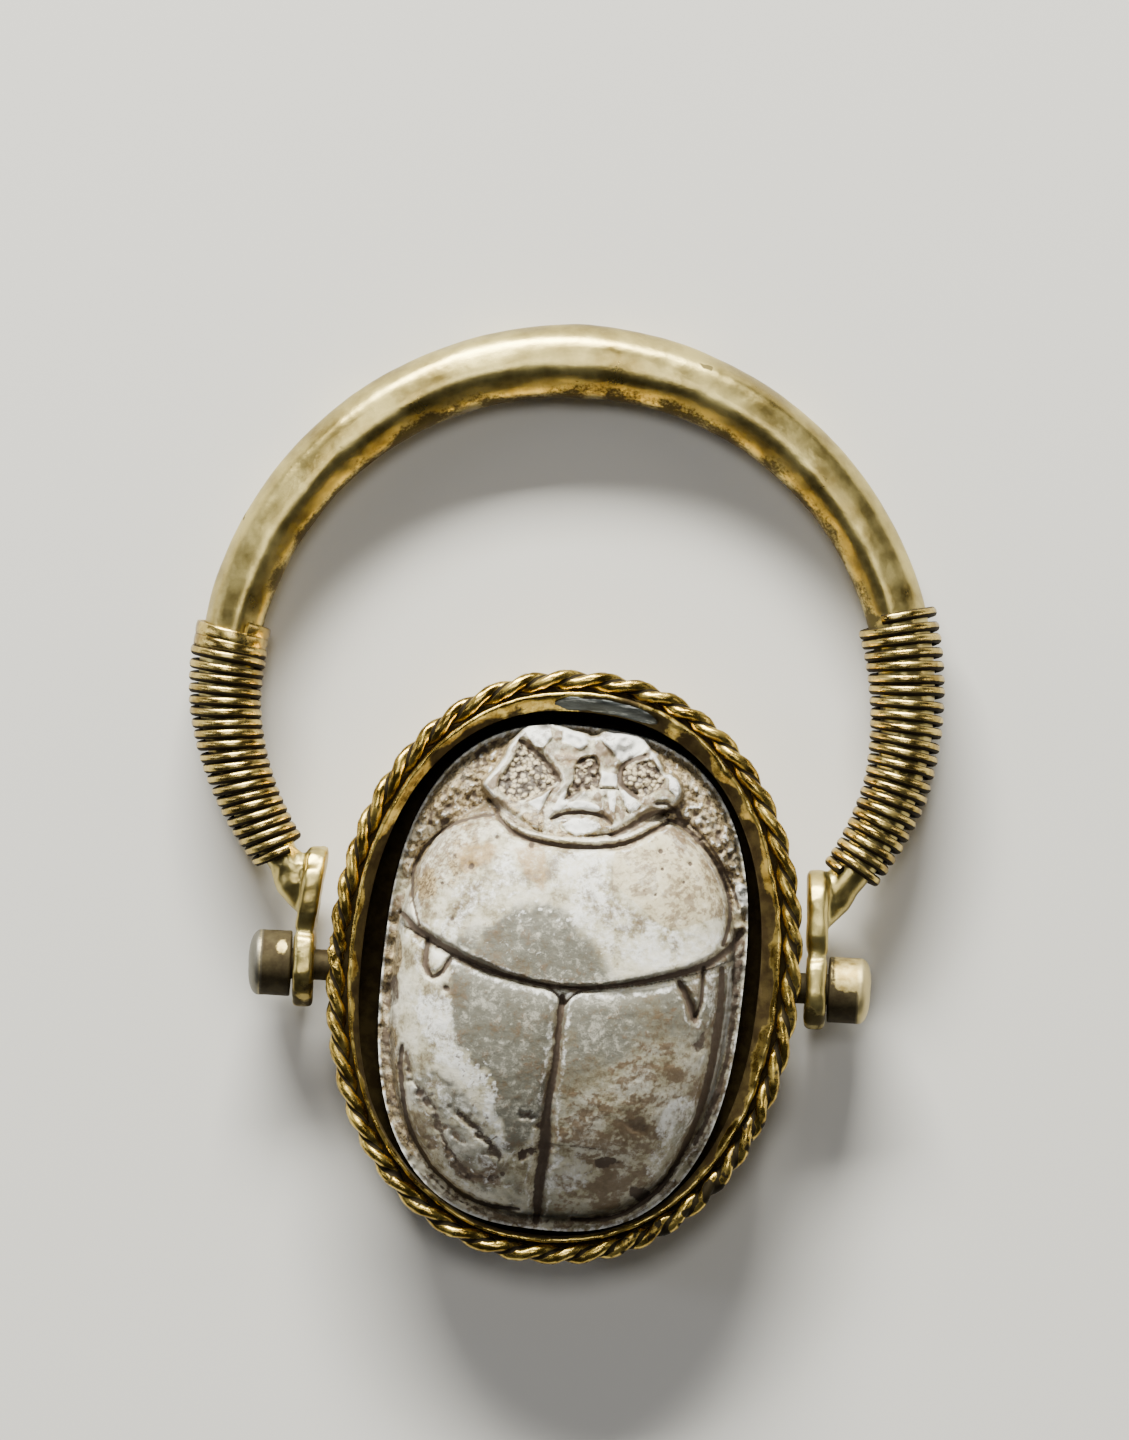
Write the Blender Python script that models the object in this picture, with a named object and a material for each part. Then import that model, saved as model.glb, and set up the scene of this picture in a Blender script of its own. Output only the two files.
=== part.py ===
# Scarab swivel ring: a carved steatite scarab in an oval gold bezel with a twisted wire
# border. The bezel turns on two side pins in the flattened eyes of a thick finger hoop,
# and the shoulders of the hoop are wound with fine wire.
# The ring lies on its bezel with the beetle's back up. X runs along the swivel pins, Y runs
# towards the top of the hoop, Z goes up. The origin is the middle of the scarab's underside.

import math

import bmesh
import bpy
import numpy as np
from mathutils import Vector

MM = 0.001

# Swivel pins and the running fit in the eyes, in millimetres
PIN_HEIGHT = 1.8
PIN_SHAFT_RADIUS = 0.45
PIN_HEAD_RADIUS = 0.98
PIN_HEAD_GAP = 0.06
PIN_HEAD_LENGTH = 0.92
PIN_DOME_LENGTH = 0.34
PIN_DOME_SHRINK = 0.86
PIN_HEAD_CHAMFER = 0.06
PIN_RUNNING_GAP = 0.04
PIN_WALL_GAP = 0.02
PIN_TAIL_LENGTH = 0.30
BORE_OVERRUN = 1.0
PIN_SIDES = 16

# Scarab
SCARAB_LEAN_DEG = 3.7
SCARAB_CENTRE_Y = 0.08
SCARAB_HALF_WIDTH = 5.27
SCARAB_FRONT_LENGTH = 7.25
SCARAB_TAIL_LENGTH = 7.48
SCARAB_EXPONENT = 2.60
SCARAB_PLATE_HEIGHT = 2.30
SCARAB_RIM_GAP = 0.05
SCARAB_COLUMNS = 22
SCARAB_ROWS = 32
PLATE_MARGIN_HEIGHT = 2.45
BODY_EDGE_HEIGHT = 3.05
BODY_PEAK_HEIGHT = 6.15
BODY_HALF_WIDTH = 4.92
BODY_TAIL_LENGTH = 7.20
BODY_FRONT_LENGTH = 5.20
BODY_EXPONENT = 2.50
BODY_TAIL_FALL = 0.022
BODY_FRONT_FALL = 0.030
HEAD_HALF_WIDTH = 2.85
HEAD_FROM = 4.0
HEAD_BACK_HEIGHT = 4.75
HEAD_FRONT_HEIGHT = 3.45
HEAD_MIDDLE_Y = 5.4
HEAD_TAPER = 0.30
HEAD_FALL = 0.10
HEAD_EDGE_INSET = 0.40
HEAD_EDGE_OUTSET = 0.35
LEG_ZONE_HEIGHT = 2.95
LEG_ZONE_FROM = 3.4
LEG_ZONE_TO = 4.6
GROOVE_DEPTH = 0.34
GROOVE_WIDTH = 0.30
NECK_LINE_Y = -0.30
NECK_LINE_RISE = 0.052
COLLAR_LINE_Y = 3.72
COLLAR_LINE_RISE = 0.15
COLLAR_LINE_FROM = 2.2
COLLAR_LINE_TO = 2.9

# Opening at the lower edge of the sloping strip, round the scarab
OPENING_SIDE_GAP = 0.53
OPENING_END_GAP = 0.275
OPENING_SHIFT_X = -0.09
OPENING_SHIFT_Y = 0.155
OPENING_LEAN_DEG = 3.3
OPENING_EXPONENT = 2.30
OPENING_HALF_WIDTH = SCARAB_HALF_WIDTH + OPENING_SIDE_GAP
OPENING_HALF_LENGTH = (SCARAB_FRONT_LENGTH + SCARAB_TAIL_LENGTH) / 2.0 + OPENING_END_GAP
OPENING_CENTRE_X = OPENING_SHIFT_X
OPENING_CENTRE_Y = (
    SCARAB_CENTRE_Y + (SCARAB_FRONT_LENGTH - SCARAB_TAIL_LENGTH) / 2.0 + OPENING_SHIFT_Y
)

# Bezel outline, measured over the twisted wire
BEZEL_SIDE_WIDTH = 1.15
BEZEL_END_WIDTH = 1.06
BEZEL_SHIFT_X = 0.11
BEZEL_SHIFT_Y = 0.19
BEZEL_LEAN_DEG = 2.9
BEZEL_EXPONENT = 2.14
BEZEL_HEIGHT = 3.50
BEZEL_STATIONS = 48
BEZEL_HALF_WIDTH = OPENING_HALF_WIDTH + BEZEL_SIDE_WIDTH
BEZEL_HALF_LENGTH = OPENING_HALF_LENGTH + BEZEL_END_WIDTH
BEZEL_CENTRE_X = OPENING_CENTRE_X + BEZEL_SHIFT_X
BEZEL_CENTRE_Y = OPENING_CENTRE_Y + BEZEL_SHIFT_Y

# Bezel wall, as distances inwards from the outline and heights
WALL_OUTSET = 0.40
FOOT_OUTSET = 0.28
FOOT_HEIGHT = 0.42
SEAT_HEIGHT = 2.76
CREST_OUTSET = 0.68
CREST_THICKNESS = 0.10
STRIP_DROP = 0.36
STRIP_THICKNESS = 0.24
UNDERCUT = 0.12
RIM_HEIGHT = 0.46
SEAT_RISE = 0.02
FOOT_CHAMFER = 0.08
CREST_CHAMFER = 0.03
LIP_CHAMFER = 0.08
RIM_CHAMFER = 0.06
LEAST_STRIP = 0.06
LEAST_WALL_STEP = 0.02

# Twisted wire border
ROPE_RADIUS = 0.33
ROPE_FLATNESS = 0.66
ROPE_GAP = 0.03
ROPE_RIDGES = 47
ROPE_STEPS_PER_RIDGE = 5
ROPE_END_GAP = 0.34
ROPE_END_ANGLE_DEG = 181.0

# Lead coloured lump on the strip at the head end
PATCH_FROM_DEG = 72.0
PATCH_TO_DEG = 99.0
PATCH_THICKNESS = 0.16
PATCH_GAP = 0.03
PATCH_STATIONS = 9

# Finger hoop: a circular arc of round bar, thick at the top and slimmer at the eyes
HOOP_CENTRE_X = -0.30
HOOP_CENTRE_Y = 8.02
HOOP_RADIUS = 9.98
HOOP_TOP_HALF = 1.12
HOOP_SHOULDER_HALF = 0.92
HOOP_NECK_HALF = 0.53
HOOP_END_HALF = 0.58
HOOP_SHOULDER_DEG = 70.0
HOOP_NECK_DEG = 121.3
HOOP_LEFT_TUCK = 0.505
HOOP_LEFT_TUCK_FROM_DEG = 93.0
HOOP_LEFT_TUCK_TO_DEG = 120.0
HOOP_RIGHT_TUCK = 0.22
HOOP_RIGHT_TUCK_FROM_DEG = 101.0
HOOP_RIGHT_TUCK_TO_DEG = 116.0
HOOP_FLATNESS = 0.97
HOOP_SIDES = 12
HOOP_STEP_DEG = 7.0

# Flattened eyes
EYE_THICKNESS = 0.64
EYE_LEFT_CLEARANCE = 0.31
EYE_RIGHT_CLEARANCE = 0.11
EYE_LEFT_INNER_X = -BEZEL_HALF_WIDTH - EYE_LEFT_CLEARANCE
EYE_RIGHT_INNER_X = BEZEL_HALF_WIDTH + EYE_RIGHT_CLEARANCE
EYE_LEFT_SHIFT = -0.08
EYE_RIGHT_SHIFT = -0.02
EYE_LEFT_LEAN = 0.28
EYE_RIGHT_LEAN = 0.10
EYE_RADIUS = 1.20
SHOULDER_RADIUS = 1.16
SHOULDER_SPACING = 2.34
EYE_WAIST = 0.94
EYE_WAIST_SHARE = 0.47
EYE_WAIST_REACH = 0.18
EYE_EDGE_ROUND = 0.16
EYE_POINTS = 24

# Fine wire wound round the shoulders
BINDING_WIRE = 0.30
BINDING_GAP = 0.03
BINDING_SIDES = 12
BINDING_LEFT_FROM_DEG = 79.2
BINDING_LEFT_TO_DEG = 121.3
BINDING_LEFT_TURNS = 22
BINDING_RIGHT_FROM_DEG = 72.0
BINDING_RIGHT_TO_DEG = 119.5
BINDING_RIGHT_TURNS = 22

# The hoop leans down from the pins until its top touches what the ring lies on
HOOP_TOP_Y = HOOP_CENTRE_Y + HOOP_RADIUS
HOOP_DROP = (PIN_HEIGHT - HOOP_TOP_HALF * HOOP_FLATNESS) / HOOP_TOP_Y


# Scene helpers

def clear_scene():
    for old in list(bpy.data.objects):
        bpy.data.objects.remove(old, do_unlink=True)


def new_collection(name, is_cutters=False):
    made = bpy.data.collections.new(name)
    bpy.context.scene.collection.children.link(made)
    if is_cutters:
        made.hide_render = True
    return made


def new_material(name, colour, metallic, roughness):
    made = bpy.data.materials.new(name)
    made.use_nodes = True
    shader = made.node_tree.nodes["Principled BSDF"]
    shader.inputs["Base Color"].default_value = (*colour, 1.0)
    shader.inputs["Metallic"].default_value = metallic
    shader.inputs["Roughness"].default_value = roughness
    made.diffuse_color = (*colour, 1.0)
    return made


def mesh_object(name, points, faces, collection, material=None, smooth_angle=40.0):
    mesh = bpy.data.meshes.new(name)
    mesh.from_pydata([tuple(float(v) * MM for v in p) for p in points], [], faces)
    mesh.validate()
    work = bmesh.new()
    work.from_mesh(mesh)
    bmesh.ops.recalc_face_normals(work, faces=work.faces)
    work.to_mesh(mesh)
    work.free()
    made = bpy.data.objects.new(name, mesh)
    collection.objects.link(made)
    if material is not None:
        mesh.materials.append(material)
    mesh.shade_smooth()
    mesh.set_sharp_from_angle(angle=math.radians(smooth_angle))
    return made


def loft(rings, closed_path=False):
    """Points and faces of a skin through equal closed rings, capped unless the path closes."""
    count = len(rings[0])
    points = [p for ring in rings for p in ring]
    faces = []
    last = len(rings) if closed_path else len(rings) - 1
    for k in range(last):
        here = k * count
        there = ((k + 1) % len(rings)) * count
        for i in range(count):
            j = (i + 1) % count
            faces.append((here + i, here + j, there + j, there + i))
    if not closed_path:
        faces.append(tuple(range(count - 1, -1, -1)))
        faces.append(tuple(range(len(points) - count, len(points))))
    return points, faces


def boolean(target, cutter, operation, collection):
    """Adds an exact Boolean to the target and files its other operand with the cutters."""
    for old in list(cutter.users_collection):
        old.objects.unlink(cutter)
    collection.objects.link(cutter)
    cutter.display_type = "WIRE"
    cutter.hide_render = True
    step = target.modifiers.new(operation.title() + " " + cutter.name, "BOOLEAN")
    step.operation = operation
    step.object = cutter
    step.solver = "EXACT"


# Outlines

def superellipse_point(angle, half_width, half_length, exponent):
    c = math.cos(angle)
    s = math.sin(angle)
    x = half_width * math.copysign(abs(c) ** (2.0 / exponent), c)
    y = half_length * math.copysign(abs(s) ** (2.0 / exponent), s)
    return x, y


def turned(x, y, lean_deg, centre_x, centre_y):
    """A point turned clockwise by the lean and moved to the centre."""
    lean = math.radians(lean_deg)
    return (
        centre_x + x * math.cos(lean) + y * math.sin(lean),
        centre_y - x * math.sin(lean) + y * math.cos(lean),
    )


def even_outline(point_at, count, samples=1440):
    """Points evenly spaced along a closed outline, with the outward normal at each."""
    path = np.array([point_at(2.0 * math.pi * k / samples) for k in range(samples)])
    steps = np.linalg.norm(np.roll(path, -1, axis=0) - path, axis=1)
    along = np.concatenate([[0.0], np.cumsum(steps)])
    loop = np.vstack([path, path[:1]])
    wanted = np.linspace(0.0, along[-1], count, endpoint=False)
    x = np.interp(wanted, along, loop[:, 0])
    y = np.interp(wanted, along, loop[:, 1])
    reach = along[-1] / samples * 4.0
    x_next = np.interp((wanted + reach) % along[-1], along, loop[:, 0])
    y_next = np.interp((wanted + reach) % along[-1], along, loop[:, 1])
    x_last = np.interp((wanted - reach) % along[-1], along, loop[:, 0])
    y_last = np.interp((wanted - reach) % along[-1], along, loop[:, 1])
    tangent = np.stack([x_next - x_last, y_next - y_last], axis=1)
    tangent /= np.linalg.norm(tangent, axis=1)[:, None]
    normal = np.stack([tangent[:, 1], -tangent[:, 0]], axis=1)
    return np.stack([x, y], axis=1), normal


def bezel_outline(angle):
    x, y = superellipse_point(
        angle, BEZEL_HALF_WIDTH, BEZEL_HALF_LENGTH, BEZEL_EXPONENT
    )
    return turned(x, y, BEZEL_LEAN_DEG, BEZEL_CENTRE_X, BEZEL_CENTRE_Y)


def radius_towards(direction, half_width, half_length, exponent):
    """How far a superellipse reaches from its own centre in a direction."""
    c = abs(math.cos(direction)) / half_width
    s = abs(math.sin(direction)) / half_length
    return (c**exponent + s**exponent) ** (-1.0 / exponent)


def opening_radius(x, y):
    """Opening edge in the direction of a point, seen from the opening's centre."""
    lean = math.radians(OPENING_LEAN_DEG)
    direction = math.atan2(y - OPENING_CENTRE_Y, x - OPENING_CENTRE_X)
    reach = radius_towards(
        direction + lean, OPENING_HALF_WIDTH, OPENING_HALF_LENGTH, OPENING_EXPONENT
    )
    return direction, reach


def scarab_reach(direction):
    """Outline of the scarab's base plate from its own centre, in its own frame."""
    length = SCARAB_FRONT_LENGTH if math.sin(direction) > 0 else SCARAB_TAIL_LENGTH
    return radius_towards(direction, SCARAB_HALF_WIDTH, length, SCARAB_EXPONENT)


def scarab_to_row(x, y):
    return turned(x, y, SCARAB_LEAN_DEG, 0.0, SCARAB_CENTRE_Y)


# Scarab

def smooth_step(value, low, high):
    t = np.clip((value - low) / (high - low), 0.0, 1.0)
    return t * t * (3.0 - 2.0 * t)


def plate_level(x, y):
    """Zero in the middle of the base plate and one on its outline."""
    length = np.where(y > 0, SCARAB_FRONT_LENGTH, SCARAB_TAIL_LENGTH)
    n = SCARAB_EXPONENT
    return (np.abs(x) / SCARAB_HALF_WIDTH) ** n + (np.abs(y) / length) ** n


def body_level(x, y):
    length = np.where(y > 0, BODY_FRONT_LENGTH, BODY_TAIL_LENGTH)
    n = BODY_EXPONENT
    return (np.abs(x) / BODY_HALF_WIDTH) ** n + (np.abs(y) / length) ** n


def groove(distance, depth, width):
    return depth * np.exp(-((distance / width) ** 2))


def scarab_height(x, y):
    """Height of the carved back over the base plate."""
    plate = SCARAB_PLATE_HEIGHT + (PLATE_MARGIN_HEIGHT - SCARAB_PLATE_HEIGHT) * (
        1.0 - smooth_step(plate_level(x, y), 0.9, 1.0)
    )
    legs = smooth_step(y, LEG_ZONE_FROM, LEG_ZONE_TO)
    legs = legs * (1.0 - smooth_step(plate_level(x, y), 0.74, 0.96))
    height = plate + legs * (LEG_ZONE_HEIGHT - PLATE_MARGIN_HEIGHT)
    level = np.clip(body_level(x, y), 0.0, 1.0)
    peak = BODY_PEAK_HEIGHT - BODY_TAIL_FALL * (y + 0.5) ** 2 * (y < -0.5)
    peak = peak - BODY_FRONT_FALL * (y - 1.0) ** 2 * (y > 1.0)
    dome = BODY_EDGE_HEIGHT + (peak - BODY_EDGE_HEIGHT) * (1.0 - level) ** 0.46
    inside_body = 1.0 - smooth_step(body_level(x, y), 0.97, 1.12)
    height = height + (dome - height) * inside_body
    widest = HEAD_HALF_WIDTH - HEAD_TAPER * np.abs(y - HEAD_MIDDLE_Y)
    head_edge = smooth_step(np.abs(x), widest - HEAD_EDGE_INSET, widest + HEAD_EDGE_OUTSET)
    in_head = (1.0 - head_edge) * smooth_step(y, HEAD_FROM - 0.2, HEAD_FROM + 0.4)
    run = np.clip((y - HEAD_FROM) / (SCARAB_FRONT_LENGTH - HEAD_FROM), 0.0, 1.0)
    head = HEAD_BACK_HEIGHT + (HEAD_FRONT_HEIGHT - HEAD_BACK_HEIGHT) * run
    head = head - HEAD_FALL * x * x / HEAD_HALF_WIDTH
    height = height + (head - height) * in_head
    neck = y - (NECK_LINE_Y + NECK_LINE_RISE * x * x)
    height = height - groove(neck, GROOVE_DEPTH, GROOVE_WIDTH) * inside_body
    suture = groove(x, GROOVE_DEPTH, GROOVE_WIDTH) * smooth_step(-neck, 0.0, 0.3)
    height = height - suture * inside_body
    collar = y - (COLLAR_LINE_Y + COLLAR_LINE_RISE * x * x)
    near_head = 1.0 - smooth_step(np.abs(x), COLLAR_LINE_FROM, COLLAR_LINE_TO)
    height = height - groove(collar, GROOVE_DEPTH, GROOVE_WIDTH) * near_head
    return np.maximum(height, SCARAB_PLATE_HEIGHT)


def scarab_grid():
    """Plan positions of a grid bent onto the base plate, its rows following the neck line."""
    rows = []
    for j in range(SCARAB_ROWS + 1):
        v = -1.0 + 2.0 * j / SCARAB_ROWS
        row = []
        for i in range(SCARAB_COLUMNS + 1):
            u = -1.0 + 2.0 * i / SCARAB_COLUMNS
            bent = v + 0.17 * (u * u - 0.20) * (1.0 - v * v)
            across = u * math.sqrt(1.0 - 0.5 * bent * bent)
            forward = bent * math.sqrt(1.0 - 0.5 * u * u)
            direction = math.atan2(forward, across)
            reach = math.hypot(across, forward)
            if reach > 1e-9:
                true_direction = math.atan2(
                    math.sin(direction) * SCARAB_TAIL_LENGTH,
                    math.cos(direction) * SCARAB_HALF_WIDTH,
                )
                reach = reach * scarab_reach(true_direction)
                direction = true_direction
            row.append((reach * math.cos(direction), reach * math.sin(direction)))
        rows.append(row)
    return np.array(rows)


def build_scarab(collection, material):
    plan = scarab_grid()
    height = scarab_height(plan[..., 0], plan[..., 1])
    last_row, last_column = plan.shape[0] - 1, plan.shape[1] - 1
    points = []
    index = {}
    for j in range(last_row + 1):
        for i in range(last_column + 1):
            x, y = scarab_to_row(*plan[j, i])
            index[(j, i)] = len(points)
            points.append((x, y, height[j, i]))
    faces = []
    for j in range(last_row):
        for i in range(last_column):
            faces.append(
                (index[(j, i)], index[(j, i + 1)], index[(j + 1, i + 1)], index[(j + 1, i)])
            )
    edge = [(0, i) for i in range(last_column)]
    edge += [(j, last_column) for j in range(last_row)]
    edge += [(last_row, i) for i in range(last_column, 0, -1)]
    edge += [(j, 0) for j in range(last_row, 0, -1)]
    upper = [index[key] for key in edge]
    lower = []
    for key in edge:
        x, y = scarab_to_row(*plan[key])
        lower.append(len(points))
        points.append((x, y, 0.0))
    for k in range(len(edge)):
        m = (k + 1) % len(edge)
        faces.append((upper[k], upper[m], lower[m], lower[k]))
    faces.append(tuple(reversed(lower)))
    return mesh_object("scarab", points, faces, collection, material, 50.0)


# Bezel

def bezel_section(point, normal, seat_only=False):
    """The wall's section at one station, as plan points and heights from foot to rim."""
    def inwards(distance):
        return point - normal * distance

    crest_outer = inwards(CREST_OUTSET)
    crest_inner = inwards(CREST_OUTSET + CREST_THICKNESS)
    direction, reach = opening_radius(*crest_inner)
    lip = np.array(
        (
            OPENING_CENTRE_X + reach * math.cos(direction),
            OPENING_CENTRE_Y + reach * math.sin(direction),
        )
    )
    inward = -np.array((math.cos(direction), math.sin(direction)))
    crest_reach = math.hypot(
        crest_inner[0] - OPENING_CENTRE_X, crest_inner[1] - OPENING_CENTRE_Y
    )
    if crest_reach - reach < LEAST_STRIP:
        lip = crest_inner + inward * LEAST_STRIP
    lean = math.radians(SCARAB_LEAN_DEG)
    towards = math.atan2(lip[1] - SCARAB_CENTRE_Y, lip[0]) + lean
    rim_reach = scarab_reach(towards) + SCARAB_RIM_GAP
    rim = np.array(
        scarab_to_row(rim_reach * math.cos(towards), rim_reach * math.sin(towards))
    )
    strip_low = BEZEL_HEIGHT - STRIP_DROP
    wall_inner = lip - inward * UNDERCUT
    if np.linalg.norm(rim - inwards(WALL_OUTSET)) < np.linalg.norm(
        wall_inner - inwards(WALL_OUTSET)
    ):
        wall_inner = rim - inward * LEAST_WALL_STEP
    if seat_only:
        return crest_inner, lip, strip_low
    return (
        (inwards(FOOT_OUTSET), 0.0),
        (inwards(FOOT_OUTSET), FOOT_HEIGHT - FOOT_CHAMFER),
        (inwards(WALL_OUTSET), FOOT_HEIGHT),
        (inwards(WALL_OUTSET), SEAT_HEIGHT),
        (crest_outer, SEAT_HEIGHT + SEAT_RISE),
        (crest_outer, BEZEL_HEIGHT - CREST_CHAMFER),
        (crest_inner, BEZEL_HEIGHT),
        (lip, strip_low),
        (lip, strip_low - STRIP_THICKNESS),
        (wall_inner, strip_low - STRIP_THICKNESS - LIP_CHAMFER),
        (wall_inner, RIM_HEIGHT),
        (rim, RIM_HEIGHT - RIM_CHAMFER),
        (rim, 0.0),
    )


def build_bezel(collection, material):
    path, normals = even_outline(bezel_outline, BEZEL_STATIONS)
    rings = []
    for point, normal in zip(path, normals):
        section = bezel_section(point, normal)
        rings.append([(p[0], p[1], z) for p, z in section])
    points, faces = loft(rings, closed_path=True)
    return mesh_object("bezel", points, faces, collection, material, 32.0)


def build_patch(collection, material):
    """A low lump lying on the sloping strip."""
    rings = []
    for k in range(PATCH_STATIONS):
        share = k / (PATCH_STATIONS - 1)
        angle = math.radians(PATCH_FROM_DEG + (PATCH_TO_DEG - PATCH_FROM_DEG) * share)
        here = np.array(bezel_outline(angle))
        ahead = np.array(bezel_outline(angle + 0.01))
        along = (ahead - here) / np.linalg.norm(ahead - here)
        normal = np.array((along[1], -along[0]))
        crest, lip, lip_height = bezel_section(here, normal, seat_only=True)
        swell = 0.35 + 0.65 * math.sin(math.pi * min(max(share, 0.04), 0.96)) ** 0.5
        rise = PATCH_THICKNESS * swell
        low = lip + (crest - lip) * 0.06
        high = lip + (crest - lip) * 0.88
        low_z = lip_height + (BEZEL_HEIGHT - lip_height) * 0.06 + PATCH_GAP
        high_z = lip_height + (BEZEL_HEIGHT - lip_height) * 0.88 + PATCH_GAP
        rings.append(
            [
                (low[0], low[1], low_z),
                (low[0], low[1], low_z + 0.7 * rise),
                ((low[0] + high[0]) / 2, (low[1] + high[1]) / 2, (low_z + high_z) / 2 + rise),
                (high[0], high[1], high_z + 0.5 * rise),
                (high[0], high[1], high_z),
            ]
        )
    points, faces = loft(rings)
    return mesh_object("grey_patch", points, faces, collection, material, 60.0)


def build_rope(collection, material):
    """Two strands twisted together, as one bar of lens section that turns as it goes."""
    steps = ROPE_RIDGES * ROPE_STEPS_PER_RIDGE
    path, normals = even_outline(bezel_outline, steps * 4)
    centres = path - normals * ROPE_RADIUS
    start = math.radians(ROPE_END_ANGLE_DEG)
    home = np.argmin(
        np.linalg.norm(path - np.array(bezel_outline(start)), axis=1)
    )
    centres = np.roll(centres, -home, axis=0)
    normals = np.roll(normals, -home, axis=0)
    spans = np.linalg.norm(np.roll(centres, -1, axis=0) - centres, axis=1)
    along = np.concatenate([[0.0], np.cumsum(spans)])
    loop = np.vstack([centres, centres[:1]])
    turns = np.vstack([normals, normals[:1]])
    wanted = np.linspace(ROPE_END_GAP / 2.0, along[-1] - ROPE_END_GAP / 2.0, steps + 1)
    height = SEAT_HEIGHT + SEAT_RISE + ROPE_GAP + ROPE_RADIUS
    rings = []
    for k, place in enumerate(wanted):
        x = float(np.interp(place, along, loop[:, 0]))
        y = float(np.interp(place, along, loop[:, 1]))
        nx = float(np.interp(place, along, turns[:, 0]))
        ny = float(np.interp(place, along, turns[:, 1]))
        spin = math.pi * k / ROPE_STEPS_PER_RIDGE
        ring = []
        for corner in range(4):
            reach = ROPE_RADIUS - ROPE_GAP / 2.0
            if corner % 2:
                reach = reach * ROPE_FLATNESS
            angle = spin + math.pi * corner / 2.0
            outward = reach * math.cos(angle)
            upward = reach * math.sin(angle)
            ring.append((x + nx * outward, y + ny * outward, height + upward))
        rings.append(ring)
    points, faces = loft(rings)
    return mesh_object("rope_border", points, faces, collection, material, 60.0)


# Hoop, eyes and pins

def hoop_half(angle_deg):
    """Half thickness of the bar at an angle from the top."""
    if angle_deg < HOOP_SHOULDER_DEG:
        share = angle_deg / HOOP_SHOULDER_DEG
        return HOOP_TOP_HALF + (HOOP_SHOULDER_HALF - HOOP_TOP_HALF) * share**0.8
    share = (angle_deg - HOOP_SHOULDER_DEG) / (HOOP_NECK_DEG - HOOP_SHOULDER_DEG)
    return HOOP_SHOULDER_HALF + (HOOP_NECK_HALF - HOOP_SHOULDER_HALF) * share**1.25


def hoop_height(y):
    return PIN_HEIGHT - HOOP_DROP * y


def hoop_tuck(side, angle_deg):
    """How far the bar runs inside its circle where the shoulders bend in to the eyes."""
    if side < 0:
        tuck = HOOP_LEFT_TUCK
        start, stop = HOOP_LEFT_TUCK_FROM_DEG, HOOP_LEFT_TUCK_TO_DEG
    else:
        tuck = HOOP_RIGHT_TUCK
        start, stop = HOOP_RIGHT_TUCK_FROM_DEG, HOOP_RIGHT_TUCK_TO_DEG
    share = max(0.0, (angle_deg - start) / (stop - start))
    return tuck * share**1.2


def hoop_place(side, angle_deg):
    """Centre of the bar and its outward direction; side is -1 on the left and 1 on the right."""
    angle = math.radians(angle_deg)
    outward = np.array((side * math.sin(angle), math.cos(angle)))
    reach = HOOP_RADIUS - hoop_tuck(side, angle_deg)
    centre = np.array((HOOP_CENTRE_X, HOOP_CENTRE_Y)) + reach * outward
    return centre, outward


def bar_ring(centre, outward, half, sides, extra=0.0):
    ring = []
    for k in range(sides):
        angle = 2.0 * math.pi * k / sides
        across = (half + extra) * math.cos(angle)
        upward = (half * HOOP_FLATNESS + extra) * math.sin(angle)
        x = centre[0] + outward[0] * across
        y = centre[1] + outward[1] * across
        ring.append((x, y, hoop_height(y) + upward))
    return ring


def side_stops(side):
    """Angles at which the bar has a section on one side, from the top down."""
    start = BINDING_LEFT_FROM_DEG if side < 0 else BINDING_RIGHT_FROM_DEG
    stop = BINDING_LEFT_TO_DEG if side < 0 else BINDING_RIGHT_TO_DEG
    plain = list(np.linspace(0.0, start, max(2, round(start / HOOP_STEP_DEG)) + 1))
    bound = list(np.linspace(start, stop, max(2, round((stop - start) / 5.0)) + 1))
    return plain[:-1], bound


def eye_inner(side):
    return EYE_LEFT_INNER_X if side < 0 else EYE_RIGHT_INNER_X


def eye_middle(side):
    return eye_inner(side) + side * EYE_THICKNESS / 2.0


def build_bar(collection, material):
    rings = []
    for side in (-1, 1):
        plain, bound = side_stops(side)
        half_rings = []
        for angle_deg in plain + bound:
            centre, outward = hoop_place(side, angle_deg)
            ring = bar_ring(centre, outward, hoop_half(angle_deg), HOOP_SIDES)
            half_rings.append(ring)
        centre, outward = hoop_place(side, bound[-1])
        end = np.array((eye_middle(side), SHOULDER_SPACING))
        for share, half in ((0.45, HOOP_NECK_HALF), (1.0, HOOP_END_HALF)):
            place = centre + (end - centre) * share
            tip = np.array((side * 0.35, -0.937)) * share + outward * (1.0 - share)
            tip = tip / np.linalg.norm(tip)
            half_rings.append(bar_ring(place, tip, half, HOOP_SIDES))
        if side < 0:
            rings = list(reversed(half_rings))
        else:
            # The right hand rings run the same way round as the left hand ones
            rings += half_rings[1:]
    points, faces = loft(rings)
    return mesh_object("hoop", points, faces, collection, material, 50.0)


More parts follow.
